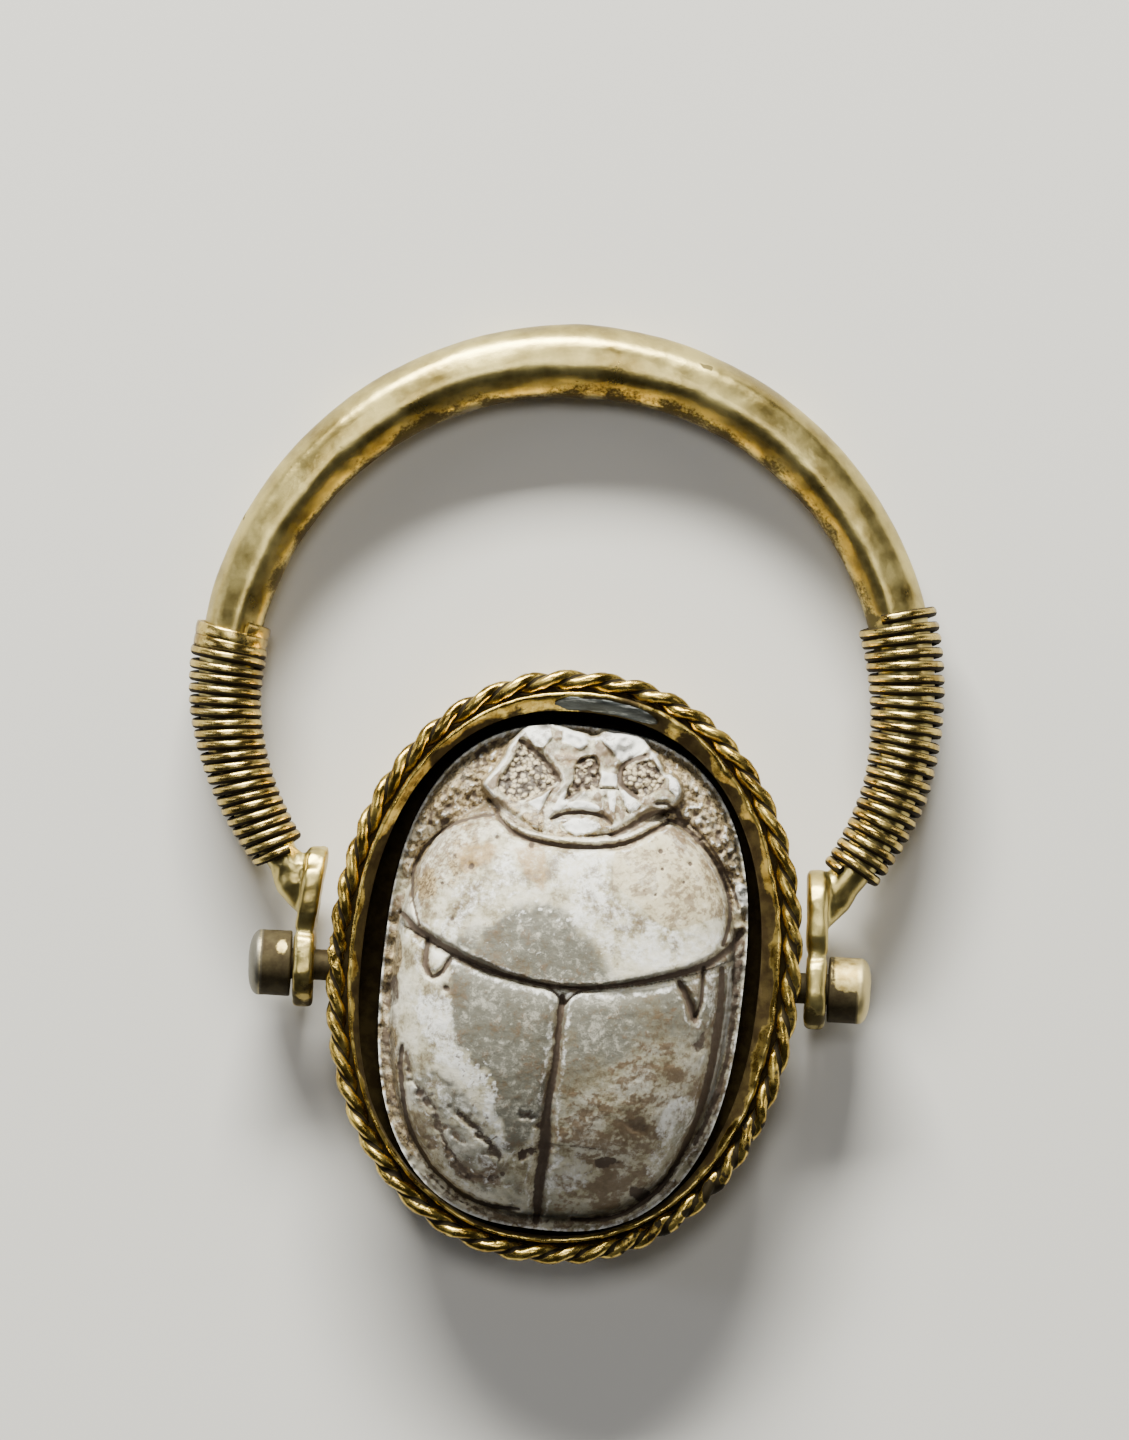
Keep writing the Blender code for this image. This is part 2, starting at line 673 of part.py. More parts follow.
def eye_outline(shift):
    """Outline of the flattened end, seen along the pins: the eye and the shoulder above it."""
    outline = []
    upper = SHOULDER_SPACING - shift
    for k in range(EYE_POINTS):
        angle = 2.0 * math.pi * k / EYE_POINTS
        c = math.cos(angle)
        s = math.sin(angle)
        if s >= 0.0:
            radius = SHOULDER_RADIUS
            y = upper + radius * s
        else:
            radius = EYE_RADIUS
            y = radius * s
        outline.append([y + shift, radius * c])
    middle = shift + upper * EYE_WAIST_SHARE
    shaped = []
    for k, (y, z) in enumerate(outline):
        shaped.append((y, z))
        # The waist between the lobes is met going down one side and up the other
        if k == EYE_POINTS // 2:
            shaped.append((middle + EYE_WAIST_REACH, -EYE_WAIST))
            shaped.append((middle - EYE_WAIST_REACH, -EYE_WAIST))
        if k == EYE_POINTS - 1:
            shaped.append((middle - EYE_WAIST_REACH, EYE_WAIST))
            shaped.append((middle + EYE_WAIST_REACH, EYE_WAIST))
    return shaped


def build_eye(side, collection, material):
    shift = EYE_LEFT_SHIFT if side < 0 else EYE_RIGHT_SHIFT
    lean = EYE_LEFT_LEAN if side < 0 else EYE_RIGHT_LEAN
    outline = eye_outline(shift)
    centre_y = sum(p[0] for p in outline) / len(outline)
    inner = eye_inner(side)
    rings = []
    for depth, inset in (
        (0.0, EYE_EDGE_ROUND),
        (EYE_EDGE_ROUND, 0.0),
        (EYE_THICKNESS - EYE_EDGE_ROUND, 0.0),
        (EYE_THICKNESS, EYE_EDGE_ROUND * 1.3),
    ):
        ring = []
        for y, z in outline:
            reach = math.hypot(y - centre_y, z)
            scale = (reach - inset) / reach
            rise = max(0.0, y - EYE_RADIUS) / (SHOULDER_SPACING + SHOULDER_RADIUS - EYE_RADIUS)
            ring.append(
                (
                    inner + side * (depth - lean * rise),
                    centre_y + (y - centre_y) * scale,
                    PIN_HEIGHT + z * scale - HOOP_DROP * y,
                )
            )
        rings.append(ring)
    points, faces = loft(rings)
    name = "eye_plate_left" if side < 0 else "eye_plate_right"
    return mesh_object(name, points, faces, collection, material, 50.0)


def x_cylinder(name, radius, start_x, end_x, sides, collection, material=None):
    rings = []
    for x in (start_x, end_x):
        ring = []
        for k in range(sides):
            angle = 2.0 * math.pi * k / sides
            ring.append((x, radius * math.cos(angle), PIN_HEIGHT + radius * math.sin(angle)))
        rings.append(ring)
    points, faces = loft(rings)
    return mesh_object(name, points, faces, collection, material, 30.0)


def build_pin(side, collection, material):
    """A plain shaft through the eye into the bezel wall, with a cylindrical domed head."""
    path, normals = even_outline(bezel_outline, 720)
    walls = path - normals * WALL_OUTSET
    near = walls[(np.abs(walls[:, 1]) < PIN_SHAFT_RADIUS) & (walls[:, 0] * side > 0)]
    wall_x = float(np.min(np.abs(near[:, 0])))
    tail = wall_x - PIN_TAIL_LENGTH
    head = abs(eye_inner(side)) + EYE_THICKNESS + PIN_HEAD_GAP
    profile = (
        (tail, PIN_SHAFT_RADIUS),
        (head, PIN_SHAFT_RADIUS),
        (head, PIN_HEAD_RADIUS - PIN_HEAD_CHAMFER),
        (head + PIN_HEAD_CHAMFER, PIN_HEAD_RADIUS),
        (head + PIN_HEAD_LENGTH, PIN_HEAD_RADIUS),
        (head + PIN_HEAD_LENGTH + PIN_DOME_LENGTH * 0.55, PIN_HEAD_RADIUS * PIN_DOME_SHRINK),
        (head + PIN_HEAD_LENGTH + PIN_DOME_LENGTH, PIN_HEAD_RADIUS * 0.45),
    )
    rings = []
    for x, radius in profile:
        ring = []
        for k in range(PIN_SIDES):
            angle = 2.0 * math.pi * k / PIN_SIDES
            ring.append(
                (side * x, radius * math.cos(angle), PIN_HEIGHT + radius * math.sin(angle))
            )
        rings.append(ring)
    points, faces = loft(rings)
    name = "pin_left" if side < 0 else "pin_right"
    return mesh_object(name, points, faces, collection, material, 35.0)


def build_binding(side, collection, material):
    """Close turns of wire as one ridged sleeve on the bar."""
    start = BINDING_LEFT_FROM_DEG if side < 0 else BINDING_RIGHT_FROM_DEG
    turns = BINDING_LEFT_TURNS if side < 0 else BINDING_RIGHT_TURNS
    bound = side_stops(side)[1]
    stop = bound[-1]
    stops_out = np.linspace(start + 0.2, stop - 0.2, turns * 2 + 1)
    rings = []
    for k, angle_deg in enumerate(stops_out):
        centre, outward = hoop_place(side, angle_deg)
        rise = BINDING_WIRE if k % 2 else BINDING_WIRE * 0.42
        extra = BINDING_GAP + rise
        rings.append(bar_ring(centre, outward, hoop_half(angle_deg), BINDING_SIDES, extra))
    inner = [start + 0.2] + list(bound[1:-1]) + [stop - 0.2]
    for angle_deg in reversed(inner):
        centre, outward = hoop_place(side, angle_deg)
        rings.append(
            bar_ring(centre, outward, hoop_half(angle_deg), BINDING_SIDES, BINDING_GAP)
        )
    points, faces = loft(rings, closed_path=True)
    name = "binding_wire_left" if side < 0 else "binding_wire_right"
    return mesh_object(name, points, faces, collection, material, 40.0)


def set_origin(made, x, y, z):
    """Moves the object's origin without moving its shape."""
    place = Vector((x * MM, y * MM, z * MM))
    for vertex in made.data.vertices:
        vertex.co -= place
    made.location = place


def main():
    clear_scene()
    ring = new_collection("Scarab swivel ring")
    cutters = new_collection("Cutters", is_cutters=True)

    steatite = new_material("glazed_steatite", (0.66, 0.61, 0.50), 0.0, 0.55)
    gold = new_material("satin_gold", (0.52, 0.43, 0.19), 1.0, 0.38)
    rope_gold = new_material("twisted_gold_wire", (0.62, 0.48, 0.17), 1.0, 0.30)
    binding_gold = new_material("binding_gold_wire", (0.66, 0.52, 0.20), 1.0, 0.28)
    bezel_gold = new_material("bezel_gold", (0.50, 0.38, 0.14), 1.0, 0.36)
    pin_left_metal = new_material("tarnished_pin", (0.30, 0.27, 0.21), 1.0, 0.45)
    pin_right_metal = new_material("gold_pin", (0.60, 0.50, 0.26), 1.0, 0.36)
    grey = new_material("grey_solder", (0.16, 0.17, 0.18), 0.8, 0.45)

    build_scarab(ring, steatite)
    bezel = build_bezel(ring, bezel_gold)
    build_rope(ring, rope_gold)
    build_patch(ring, grey)
    for side, metal in ((-1, pin_left_metal), (1, pin_right_metal)):
        build_pin(side, ring, metal)
        word = "left" if side < 0 else "right"
        bore = x_cylinder(
            "wall_bore_" + word,
            PIN_SHAFT_RADIUS + PIN_WALL_GAP,
            side * (OPENING_HALF_WIDTH - UNDERCUT - BORE_OVERRUN),
            side * (BEZEL_HALF_WIDTH + BORE_OVERRUN),
            PIN_SIDES,
            cutters,
        )
        boolean(bezel, bore, "DIFFERENCE", cutters)

    hoop = build_bar(ring, gold)
    for side in (-1, 1):
        word = "left" if side < 0 else "right"
        eye = build_eye(side, cutters, gold)
        boolean(hoop, eye, "UNION", cutters)
        hole = x_cylinder(
            "eye_bore_" + word,
            PIN_SHAFT_RADIUS + PIN_RUNNING_GAP,
            side * (abs(eye_inner(side)) - BORE_OVERRUN),
            side * (abs(eye_inner(side)) + EYE_THICKNESS + BORE_OVERRUN),
            PIN_SIDES,
            cutters,
        )
        boolean(hoop, hole, "DIFFERENCE", cutters)
        build_binding(side, ring, binding_gold)

    # The hoop and what is wound on it turn about the pins
    for name in ("hoop", "binding_wire_left", "binding_wire_right"):
        set_origin(bpy.data.objects[name], 0.0, 0.0, PIN_HEIGHT)


main()
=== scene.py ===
import math

import bpy
import numpy as np
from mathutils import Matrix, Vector, noise


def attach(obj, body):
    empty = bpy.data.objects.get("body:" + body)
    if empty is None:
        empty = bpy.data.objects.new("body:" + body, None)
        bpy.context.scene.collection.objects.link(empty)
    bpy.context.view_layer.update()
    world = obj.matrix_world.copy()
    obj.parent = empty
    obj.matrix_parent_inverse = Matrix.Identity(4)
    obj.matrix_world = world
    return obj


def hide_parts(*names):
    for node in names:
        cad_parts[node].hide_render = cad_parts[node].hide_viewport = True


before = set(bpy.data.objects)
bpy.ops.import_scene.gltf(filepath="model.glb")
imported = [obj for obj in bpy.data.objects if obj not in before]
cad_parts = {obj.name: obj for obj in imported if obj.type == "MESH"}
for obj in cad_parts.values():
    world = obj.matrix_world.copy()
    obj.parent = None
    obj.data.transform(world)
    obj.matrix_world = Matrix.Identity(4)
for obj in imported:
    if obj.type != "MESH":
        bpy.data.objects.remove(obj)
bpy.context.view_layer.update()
bpy.ops.object.select_all(action="DESELECT")
print("frame loaded")

mm = 0.001  # sizes below are in millimetres and become metres as points are written


# small helpers

def hexLinear(code):
    values = [int(code[i:i + 2], 16) / 255 for i in (1, 3, 5)]
    return [v / 12.92 if v <= 0.04045 else ((v + 0.055) / 1.055) ** 2.4 for v in values] + [1.0]


def addNode(tree, kind, settings=None, links=None):
    node = tree.nodes.new(kind)
    for key, value in (settings or {}).items():
        if key == "stops":
            ramp = node.color_ramp
            while len(ramp.elements) < len(value):
                ramp.elements.new(0.5)
            for element, (place, colour) in zip(ramp.elements, value):
                element.position = place
                element.color = colour
        elif isinstance(key, int) or key in node.inputs:
            node.inputs[key].default_value = value
        else:
            setattr(node, key, value)
    for key, (source, output) in (links or {}).items():
        tree.links.new(source.outputs[output], node.inputs[key])
    return node


def smooth(value, low, high):
    t = np.clip((value - low) / (high - low), 0.0, 1.0)
    return t * t * (3.0 - 2.0 * t)


def readRaw(piece):
    flat = np.empty(len(piece.data.vertices) * 3)
    piece.data.vertices.foreach_get("co", flat)
    return flat.reshape(-1, 3)


def readPoints(piece):
    return readRaw(piece) / mm


def writePoints(piece, points):
    piece.data.vertices.foreach_set("co", (points * mm).ravel())
    piece.data.update()


def readNormals(piece):
    flat = np.empty(len(piece.data.vertices) * 3)
    piece.data.vertex_normals.foreach_get("vector", flat)
    return flat.reshape(-1, 3)


def grain(points, size, seed=0.0):
    shift = Vector((seed * 3.1, seed * 1.7, seed * 2.3))
    return np.array([noise.noise(Vector(p) / size + shift) for p in points])


def paint(piece, name, values):
    layer = piece.data.attributes.new(name, "FLOAT", "POINT")
    layer.data.foreach_set("value", np.clip(values, 0.0, 1.0).astype(np.float32))


def pickOnly(piece):
    bpy.ops.object.select_all(action="DESELECT")
    piece.select_set(True)
    bpy.context.view_layer.objects.active = piece


def placeFlat(piece):
    pickOnly(piece)
    bpy.ops.object.transform_apply(location=True, rotation=True, scale=True)


def applied(piece, kind, **settings):
    # a modifier with these settings, applied at once
    step = piece.modifiers.new(kind.lower(), kind)
    for key, value in settings.items():
        setattr(step, key, value)
    bpy.ops.object.modifier_apply(modifier=step.name)


def outwards(piece, mergeBy=0.0):
    pickOnly(piece)
    bpy.ops.object.mode_set(mode="EDIT")
    bpy.ops.mesh.select_all(action="SELECT")
    if mergeBy:
        bpy.ops.mesh.remove_doubles(threshold=mergeBy * mm)
    bpy.ops.mesh.normals_make_consistent(inside=False)
    bpy.ops.object.mode_set(mode="OBJECT")


def closedSkin(stations, sides):
    # a fine grid whose two pairs of edges meet when it is bent round into a ring
    bpy.ops.mesh.primitive_grid_add(x_subdivisions=stations, y_subdivisions=sides, size=2)
    piece = bpy.context.active_object
    flat = readRaw(piece)
    k = np.round((flat[:, 0] + 1) / 2 * stations).astype(int) % stations
    i = np.round((flat[:, 1] + 1) / 2 * sides).astype(int) % sides
    return piece, k, i


def finishPiece(piece, name, body, material, nodes=(), angle=None):
    piece.name = name
    piece.data.name = name
    piece.data.materials.clear()
    piece.data.materials.append(material)
    pickOnly(piece)
    if angle is None:
        bpy.ops.object.shade_smooth()
    else:
        bpy.ops.object.shade_smooth_by_angle(angle=math.radians(angle))
    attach(piece, body)
    if nodes:
        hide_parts(*nodes)
    bpy.ops.object.select_all(action="DESELECT")


# materials

def startMaterial(name, scale=(1000, 1000, 1000)):
    # object coordinates in millimetres, or stretched by another scale
    made = bpy.data.materials.new(name)
    made.use_nodes = True
    tree = made.node_tree
    place = addNode(tree, "ShaderNodeTexCoord")
    inMm = addNode(tree, "ShaderNodeMapping", {"Scale": scale}, {"Vector": (place, "Object")})
    return made, tree, tree.nodes["Principled BSDF"], place, inMm


def goldFinish(name, bright, deep, grime, rough, patchSize, grimeAndShadeGain, pitSize=0.9):
    made, tree, shader, _, inMm = startMaterial(name)
    patches = addNode(tree, "ShaderNodeTexNoise", {"Scale": 1 / patchSize, "Detail": 5.0, "Roughness": 0.6},
                      {"Vector": (inMm, 0)})
    tone = addNode(tree, "ShaderNodeValToRGB",
                   {"stops": [(0.40, hexLinear(deep)), (0.60, hexLinear(bright))]}, {"Fac": (patches, "Fac")})
    fine = addNode(tree, "ShaderNodeTexNoise", {"Scale": 9.0, "Detail": 4.0, "Roughness": 0.65},
                   {"Vector": (inMm, 0)})
    # the grime attribute holds soil and also painted shade in hollows, gaps and undersides
    dirtAndShade = addNode(tree, "ShaderNodeAttribute", {"attribute_name": "grime"})
    broken = addNode(tree, "ShaderNodeMath", {"operation": "MULTIPLY_ADD", 1: 0.55, 2: -0.275},
                     {0: (fine, "Fac")})
    amount = addNode(tree, "ShaderNodeMath", {"operation": "ADD"}, {0: (dirtAndShade, "Fac"), 1: (broken, 0)})
    cover = addNode(tree, "ShaderNodeMapRange",
                    {"From Min": 0.38, "From Max": 0.62, "To Max": grimeAndShadeGain, "interpolation_type": "SMOOTHSTEP"},
                    {"Value": (amount, 0)})
    pits = addNode(tree, "ShaderNodeTexNoise", {"Scale": 1 / pitSize, "Detail": 2.0, "Roughness": 0.4},
                   {"Vector": (inMm, 0)})
    specks = addNode(tree, "ShaderNodeMapRange",
                     {"From Min": 0.735, "From Max": 0.77, "To Max": 0.8}, {"Value": (pits, "Fac")})
    both = addNode(tree, "ShaderNodeMath", {"operation": "MAXIMUM"}, {0: (cover, 0), 1: (specks, 0)})
    colour = addNode(tree, "ShaderNodeMix", {"data_type": "RGBA", 7: hexLinear(grime)},
                     {0: (both, 0), 6: (tone, "Color")})
    tree.links.new(colour.outputs[2], shader.inputs["Base Color"])
    metal = addNode(tree, "ShaderNodeMapRange", {"To Min": 1.0, "To Max": 0.70}, {"Value": (both, 0)})
    tree.links.new(metal.outputs[0], shader.inputs["Metallic"])
    gloss = addNode(tree, "ShaderNodeMapRange",
                    {"From Min": 0.3, "From Max": 0.7, "To Min": rough - 0.07, "To Max": rough + 0.10},
                    {"Value": (patches, "Fac")})
    dull = addNode(tree, "ShaderNodeMix", {"data_type": "FLOAT", 3: 0.75}, {0: (both, 0), 2: (gloss, 0)})
    tree.links.new(dull.outputs[0], shader.inputs["Roughness"])
    scratches = addNode(tree, "ShaderNodeTexNoise", {"Scale": 3.0, "Detail": 8.0, "Roughness": 0.7},
                        {"Vector": (inMm, 0)})
    relief = addNode(tree, "ShaderNodeBump", {"Strength": 0.22, "Distance": 0.00006},
                     {"Height": (scratches, "Fac")})
    tree.links.new(relief.outputs[0], shader.inputs["Normal"])
    return made


# hoop: low carat gold, forged round and burnished by wear, satin with soft lengthwise bands
hoopGold = goldFinish("forgedHoopGold", "#D2C17C", "#94824A", "#33280F", 0.31, 2.2, 0.85, 0.55)
# fine drawn wire, left bright on its crests, with painted shade and some brown soil between the turns and on the
# lower side of each turn
bindingGold = goldFinish("drawnBindingGold", "#D8BF70", "#967D40", "#1F1508", 0.24, 0.5, 0.97, 3.0)
# twisted wire of the border, deep yellow gold with hollows darkened by soil and painted shade
ropeGold = goldFinish("twistedWireGold", "#DABD64", "#8C7232", "#120B04", 0.24, 0.6, 0.97, 2.0)
# sheet gold of the collet, rubbed bright on its crest and darker, brown and matte down the slope, with painted shade
# under the twisted border and below the strip
bezelGold = goldFinish("colletSheetGold", "#DABF6A", "#8E7638", "#281B0A", 0.26, 0.4, 0.92, 1.0)
# pins, gold worn through to pale silver at the ends
pinGold = goldFinish("pinGold", "#D2C084", "#8F7C48", "#221A12", 0.50, 0.6, 0.9, 1.0)
print("gold finishes ready")

stoneLook = dict(
    shade="#7C7158", sand="#A79F82", cream="#CDC7AE", pale="#E6E2D0",
    grime="#54463A", stain="#746049", chalk="#F6F7F3", sage="#68675C", tan="#CDC19E", ochre="#9C7630",
    speckDark="#4A3A28", speckLight="#B9A57C", granule="#D0C09C", between="#3E3025", fleckDark="#6B5940",
)


def glazedSteatite(look):
    # steatite carved and glazed: the glaze is worn to a chalky cream with soil held in the carving
    made, tree, shader, place, inMm = startMaterial("glazedSteatite")
    shader.inputs["IOR"].default_value = 1.5
    slanting = addNode(tree, "ShaderNodeMapping", {"Scale": (1000, 1000, 1000), "Rotation": (0, 0, 0.90)},
                       {"Vector": (place, "Object")})
    drawnOut = addNode(tree, "ShaderNodeMapping", {"Scale": (1, 0.25, 1)}, {"Vector": (slanting, 0)})
    cloud = addNode(tree, "ShaderNodeTexNoise", {"Scale": 0.9, "Detail": 9.0, "Roughness": 0.68},
                    {"Vector": (inMm, 0)})
    fine = addNode(tree, "ShaderNodeTexNoise", {"Scale": 6.0, "Detail": 7.0, "Roughness": 0.72},
                   {"Vector": (inMm, 0)})
    pepper = addNode(tree, "ShaderNodeTexNoise", {"Scale": 8.0, "Detail": 4.0, "Roughness": 0.62,
                                                  "Distortion": 0.8}, {"Vector": (inMm, 0)})
    flecks = addNode(tree, "ShaderNodeTexNoise", {"Scale": 4.2, "Detail": 6.0, "Roughness": 0.80,
                                                  "Distortion": 0.4}, {"Vector": (inMm, 0)})
    dashes = addNode(tree, "ShaderNodeTexNoise", {"Scale": 5.0, "Detail": 3.0, "Roughness": 0.6},
                     {"Vector": (drawnOut, 0)})
    grains = addNode(tree, "ShaderNodeTexVoronoi", {"Scale": 6.4, "Randomness": 0.9}, {"Vector": (inMm, 0)})
    base = addNode(tree, "ShaderNodeValToRGB",
                   {"stops": [(0.35, hexLinear(look["shade"])), (0.43, hexLinear(look["sand"])),
                              (0.51, hexLinear(look["cream"])), (0.62, hexLinear(look["pale"]))]},
                   {"Fac": (cloud, "Fac")})
    current = (base, "Color")

    def coat(current, layer, colour, low, high, breakUp, source, most=1.0):
        mask = addNode(tree, "ShaderNodeAttribute", {"attribute_name": layer})
        rough = addNode(tree, "ShaderNodeMath", {"operation": "MULTIPLY_ADD", 1: breakUp, 2: -breakUp / 2},
                        {0: (source, "Fac")})
        total = addNode(tree, "ShaderNodeMath", {"operation": "ADD"}, {0: (mask, "Fac"), 1: (rough, 0)})
        cover = addNode(tree, "ShaderNodeMapRange",
                        {"From Min": low, "From Max": high, "To Max": most,
                         "interpolation_type": "SMOOTHSTEP"}, {"Value": (total, 0)})
        mixed = addNode(tree, "ShaderNodeMix", {"data_type": "RGBA"}, {0: (cover, 0), 6: current})
        if isinstance(colour, str):
            mixed.inputs[7].default_value = hexLinear(colour)
        else:
            tree.links.new(colour.outputs[0], mixed.inputs[7])
        return (mixed, 2), cover

    current, _ = coat(current, "sage", look["sage"], 0.28, 0.72, 1.0, cloud, 0.94)
    current, _ = coat(current, "tan", look["tan"], 0.30, 0.56, 0.7, fine, 0.78)
    current, _ = coat(current, "tan", look["stain"], 0.84, 1.02, 1.9, dashes, 0.62)
    current, _ = coat(current, "ochre", look["ochre"], 0.25, 0.85, 1.2, fine, 0.72)
    # the stain layer holds brown stains and also painted shade above the neck line
    current, _ = coat(current, "stain", look["stain"], 0.28, 0.80, 2.2, fine, 0.88)
    speckle = addNode(tree, "ShaderNodeValToRGB",
                      {"stops": [(0.40, hexLinear(look["speckDark"])), (0.58, hexLinear(look["speckLight"]))]},
                      {"Fac": (pepper, "Fac")})
    current, _ = coat(current, "speckle", speckle, 0.3, 0.7, 0.8, fine, 0.95)
    # the chalk layer holds pale worn glaze and also painted highlights on the rounded edges of the wing cases
    current, chalkAndHighlightCover = coat(current, "chalk", look["chalk"], 0.38, 0.86, 1.7, fine, 0.94)
    # fine brown and white flecks over all the glaze, gathered in clouds
    drift = addNode(tree, "ShaderNodeMath", {"operation": "MULTIPLY_ADD", 1: 0.9, 2: -0.45}, {0: (cloud, "Fac")})
    gathered = addNode(tree, "ShaderNodeMath", {"operation": "ADD"}, {0: (flecks, "Fac"), 1: (drift, 0)})
    darker = addNode(tree, "ShaderNodeMapRange", {"From Min": 0.47, "From Max": 0.33, "To Max": 0.66},
                     {"Value": (gathered, 0)})
    dusted = addNode(tree, "ShaderNodeMix", {"data_type": "RGBA", 7: hexLinear(look["fleckDark"])},
                     {0: (darker, 0), 6: current})
    lighter = addNode(tree, "ShaderNodeMapRange", {"From Min": 0.54, "From Max": 0.70, "To Max": 0.50},
                      {"Value": (gathered, 0)})
    flecked = addNode(tree, "ShaderNodeMix", {"data_type": "RGBA", 7: hexLinear(look["pale"])},
                      {0: (lighter, 0), 6: (dusted, 2)})
    # broken cavities of the head show pale granules with brown between them
    granuleTone = addNode(tree, "ShaderNodeValToRGB",
                          {"stops": [(0.34, hexLinear(look["granule"])), (0.62, hexLinear(look["between"]))]},
                          {"Fac": (grains, "Distance")})
    current, _ = coat((flecked, 2), "granules", granuleTone, 0.3, 0.7, 0.6, fine, 0.95)
    current, grimeAndShadeCover = coat(current, "grime", look["grime"], 0.34, 0.72, 1.0, fine, 0.95)
    tree.links.new(current[0].outputs[2], shader.inputs["Base Color"])
    gloss = addNode(tree, "ShaderNodeMapRange",
                    {"From Min": 0.35, "From Max": 0.65, "To Min": 0.42, "To Max": 0.60},
                    {"Value": (cloud, "Fac")})
    dull = addNode(tree, "ShaderNodeMath", {"operation": "MAXIMUM"}, {0: (grimeAndShadeCover, 0), 1: (chalkAndHighlightCover, 0)})
    roughness = addNode(tree, "ShaderNodeMix", {"data_type": "FLOAT", 3: 0.82},
                        {0: (dull, 0), 2: (gloss, 0)})
    tree.links.new(roughness.outputs[0], shader.inputs["Roughness"])
    relief = addNode(tree, "ShaderNodeBump", {"Strength": 0.45, "Distance": 0.00006},
                     {"Height": (fine, "Fac")})
    grainMask = addNode(tree, "ShaderNodeAttribute", {"attribute_name": "granules"})
    grainRise = addNode(tree, "ShaderNodeMath", {"operation": "MULTIPLY"},
                        {0: (grains, "Distance"), 1: (grainMask, "Fac")})
    bumpy = addNode(tree, "ShaderNodeBump", {"Strength": 0.8, "Distance": 0.00008, "invert": True},
                    {"Height": (grainRise, 0), "Normal": (relief, 0)})
    tree.links.new(bumpy.outputs[0], shader.inputs["Normal"])
    return made


steatite = glazedSteatite(stoneLook)


def greyLump():
    # lead coloured filler, dull and streaked lengthwise with pale scratches
    made, tree, shader, _, inMm = startMaterial("greySolder", (350, 2600, 1000))
    streaks = addNode(tree, "ShaderNodeTexNoise", {"Scale": 2.2, "Detail": 5.0, "Roughness": 0.7},
                      {"Vector": (inMm, 0)})
    tone = addNode(tree, "ShaderNodeValToRGB",
                   {"stops": [(0.38, hexLinear("#232626")), (0.60, hexLinear("#4A4E4D")),
                              (0.74, hexLinear("#B9BCB8"))]}, {"Fac": (streaks, "Fac")})
    tree.links.new(tone.outputs[0], shader.inputs["Base Color"])
    shader.inputs["Metallic"].default_value = 0.6
    gloss = addNode(tree, "ShaderNodeMapRange", {"To Min": 0.35, "To Max": 0.65}, {"Value": (streaks, "Fac")})
    tree.links.new(gloss.outputs[0], shader.inputs["Roughness"])
    relief = addNode(tree, "ShaderNodeBump", {"Strength": 0.4, "Distance": 0.00005},
                     {"Height": (streaks, "Fac")})
    tree.links.new(relief.outputs[0], shader.inputs["Normal"])
    return made


greyMetal = greyLump()
print("stone and grey metal ready")


# scarab

scarabSize = dict(
    halfWidth=5.27, frontLength=7.25, tailLength=7.48, squareness=2.6,
    lean=3.7, centreY=0.08, plate=2.30, margin=2.45,
    bodyEdge=3.05, bodyPeak=6.15, bodyHalfWidth=4.92, bodyTail=7.20, bodyFront=5.20, bodySquareness=2.5,
    headBack=4.75, headFront=3.45, legZone=2.95, domePower=0.46,
    seenX=-0.80, seenY=7.38, seenFrom=300.0,
    cellsAcross=250, cellsAlong=350,
)


def superReach(direction, halfWidth, halfLength, squareness):
    across = np.abs(np.cos(direction)) / halfWidth
    along = np.abs(np.sin(direction)) / halfLength
    return (across ** squareness + along ** squareness) ** (-1 / squareness)


def turned(x, y, lean, centreX, centreY):
    angle = math.radians(lean)
    return (centreX + x * math.cos(angle) + y * math.sin(angle),
            centreY - x * math.sin(angle) + y * math.cos(angle))


def roundedPath(corners, steps=7, closed=False):
    c = [np.array(p, float) for p in corners]
    n = len(c)
    path = []
    spans = n if closed else n - 1
    for k in range(spans):
        p0 = c[(k - 1) % n] if closed or k > 0 else c[0]
        p1, p2 = c[k], c[(k + 1) % n]
        p3 = c[(k + 2) % n] if closed or k + 2 < n else c[-1]
        for s in range(steps):
            t = s / steps
            path.append(0.5 * (2 * p1 + (p2 - p0) * t + (2 * p0 - 5 * p1 + 4 * p2 - p3) * t * t
                               + (3 * p1 - p0 - 3 * p2 + p3) * t ** 3))
    if not closed:
        path.append(c[-1])
    return np.array(path)


def pathReach(x, y, path, closed=False):
    best = np.full(x.shape, 1e9)
    share = np.zeros(x.shape)
    count = len(path) if closed else len(path) - 1
    for k in range(count):
        a, b = path[k], path[(k + 1) % len(path)]
        run = b - a
        length = run @ run + 1e-12
        t = np.clip(((x - a[0]) * run[0] + (y - a[1]) * run[1]) / length, 0, 1)
        gap = np.hypot(x - a[0] - t * run[0], y - a[1] - t * run[1])
        nearer = gap < best
        best = np.where(nearer, gap, best)
        share = np.where(nearer, (k + t) / count, share)
    return best, share


def insideLevel(x, y, corners, soft, rounded=True):
    path = roundedPath(corners, 4, True) if rounded else np.array(corners, float)
    gap, _ = pathReach(x, y, path, True)
    inside = np.zeros(x.shape, bool)
    for k in range(len(path)):
        a, b = path[k], path[(k + 1) % len(path)]
        crosses = (a[1] > y) != (b[1] > y)
        with np.errstate(divide="ignore", invalid="ignore"):
            at = (b[0] - a[0]) * (y - a[1]) / (b[1] - a[1] + 1e-15) + a[0]
        inside ^= crosses & (x < at)
    return smooth(np.where(inside, gap, -gap), -soft, soft)


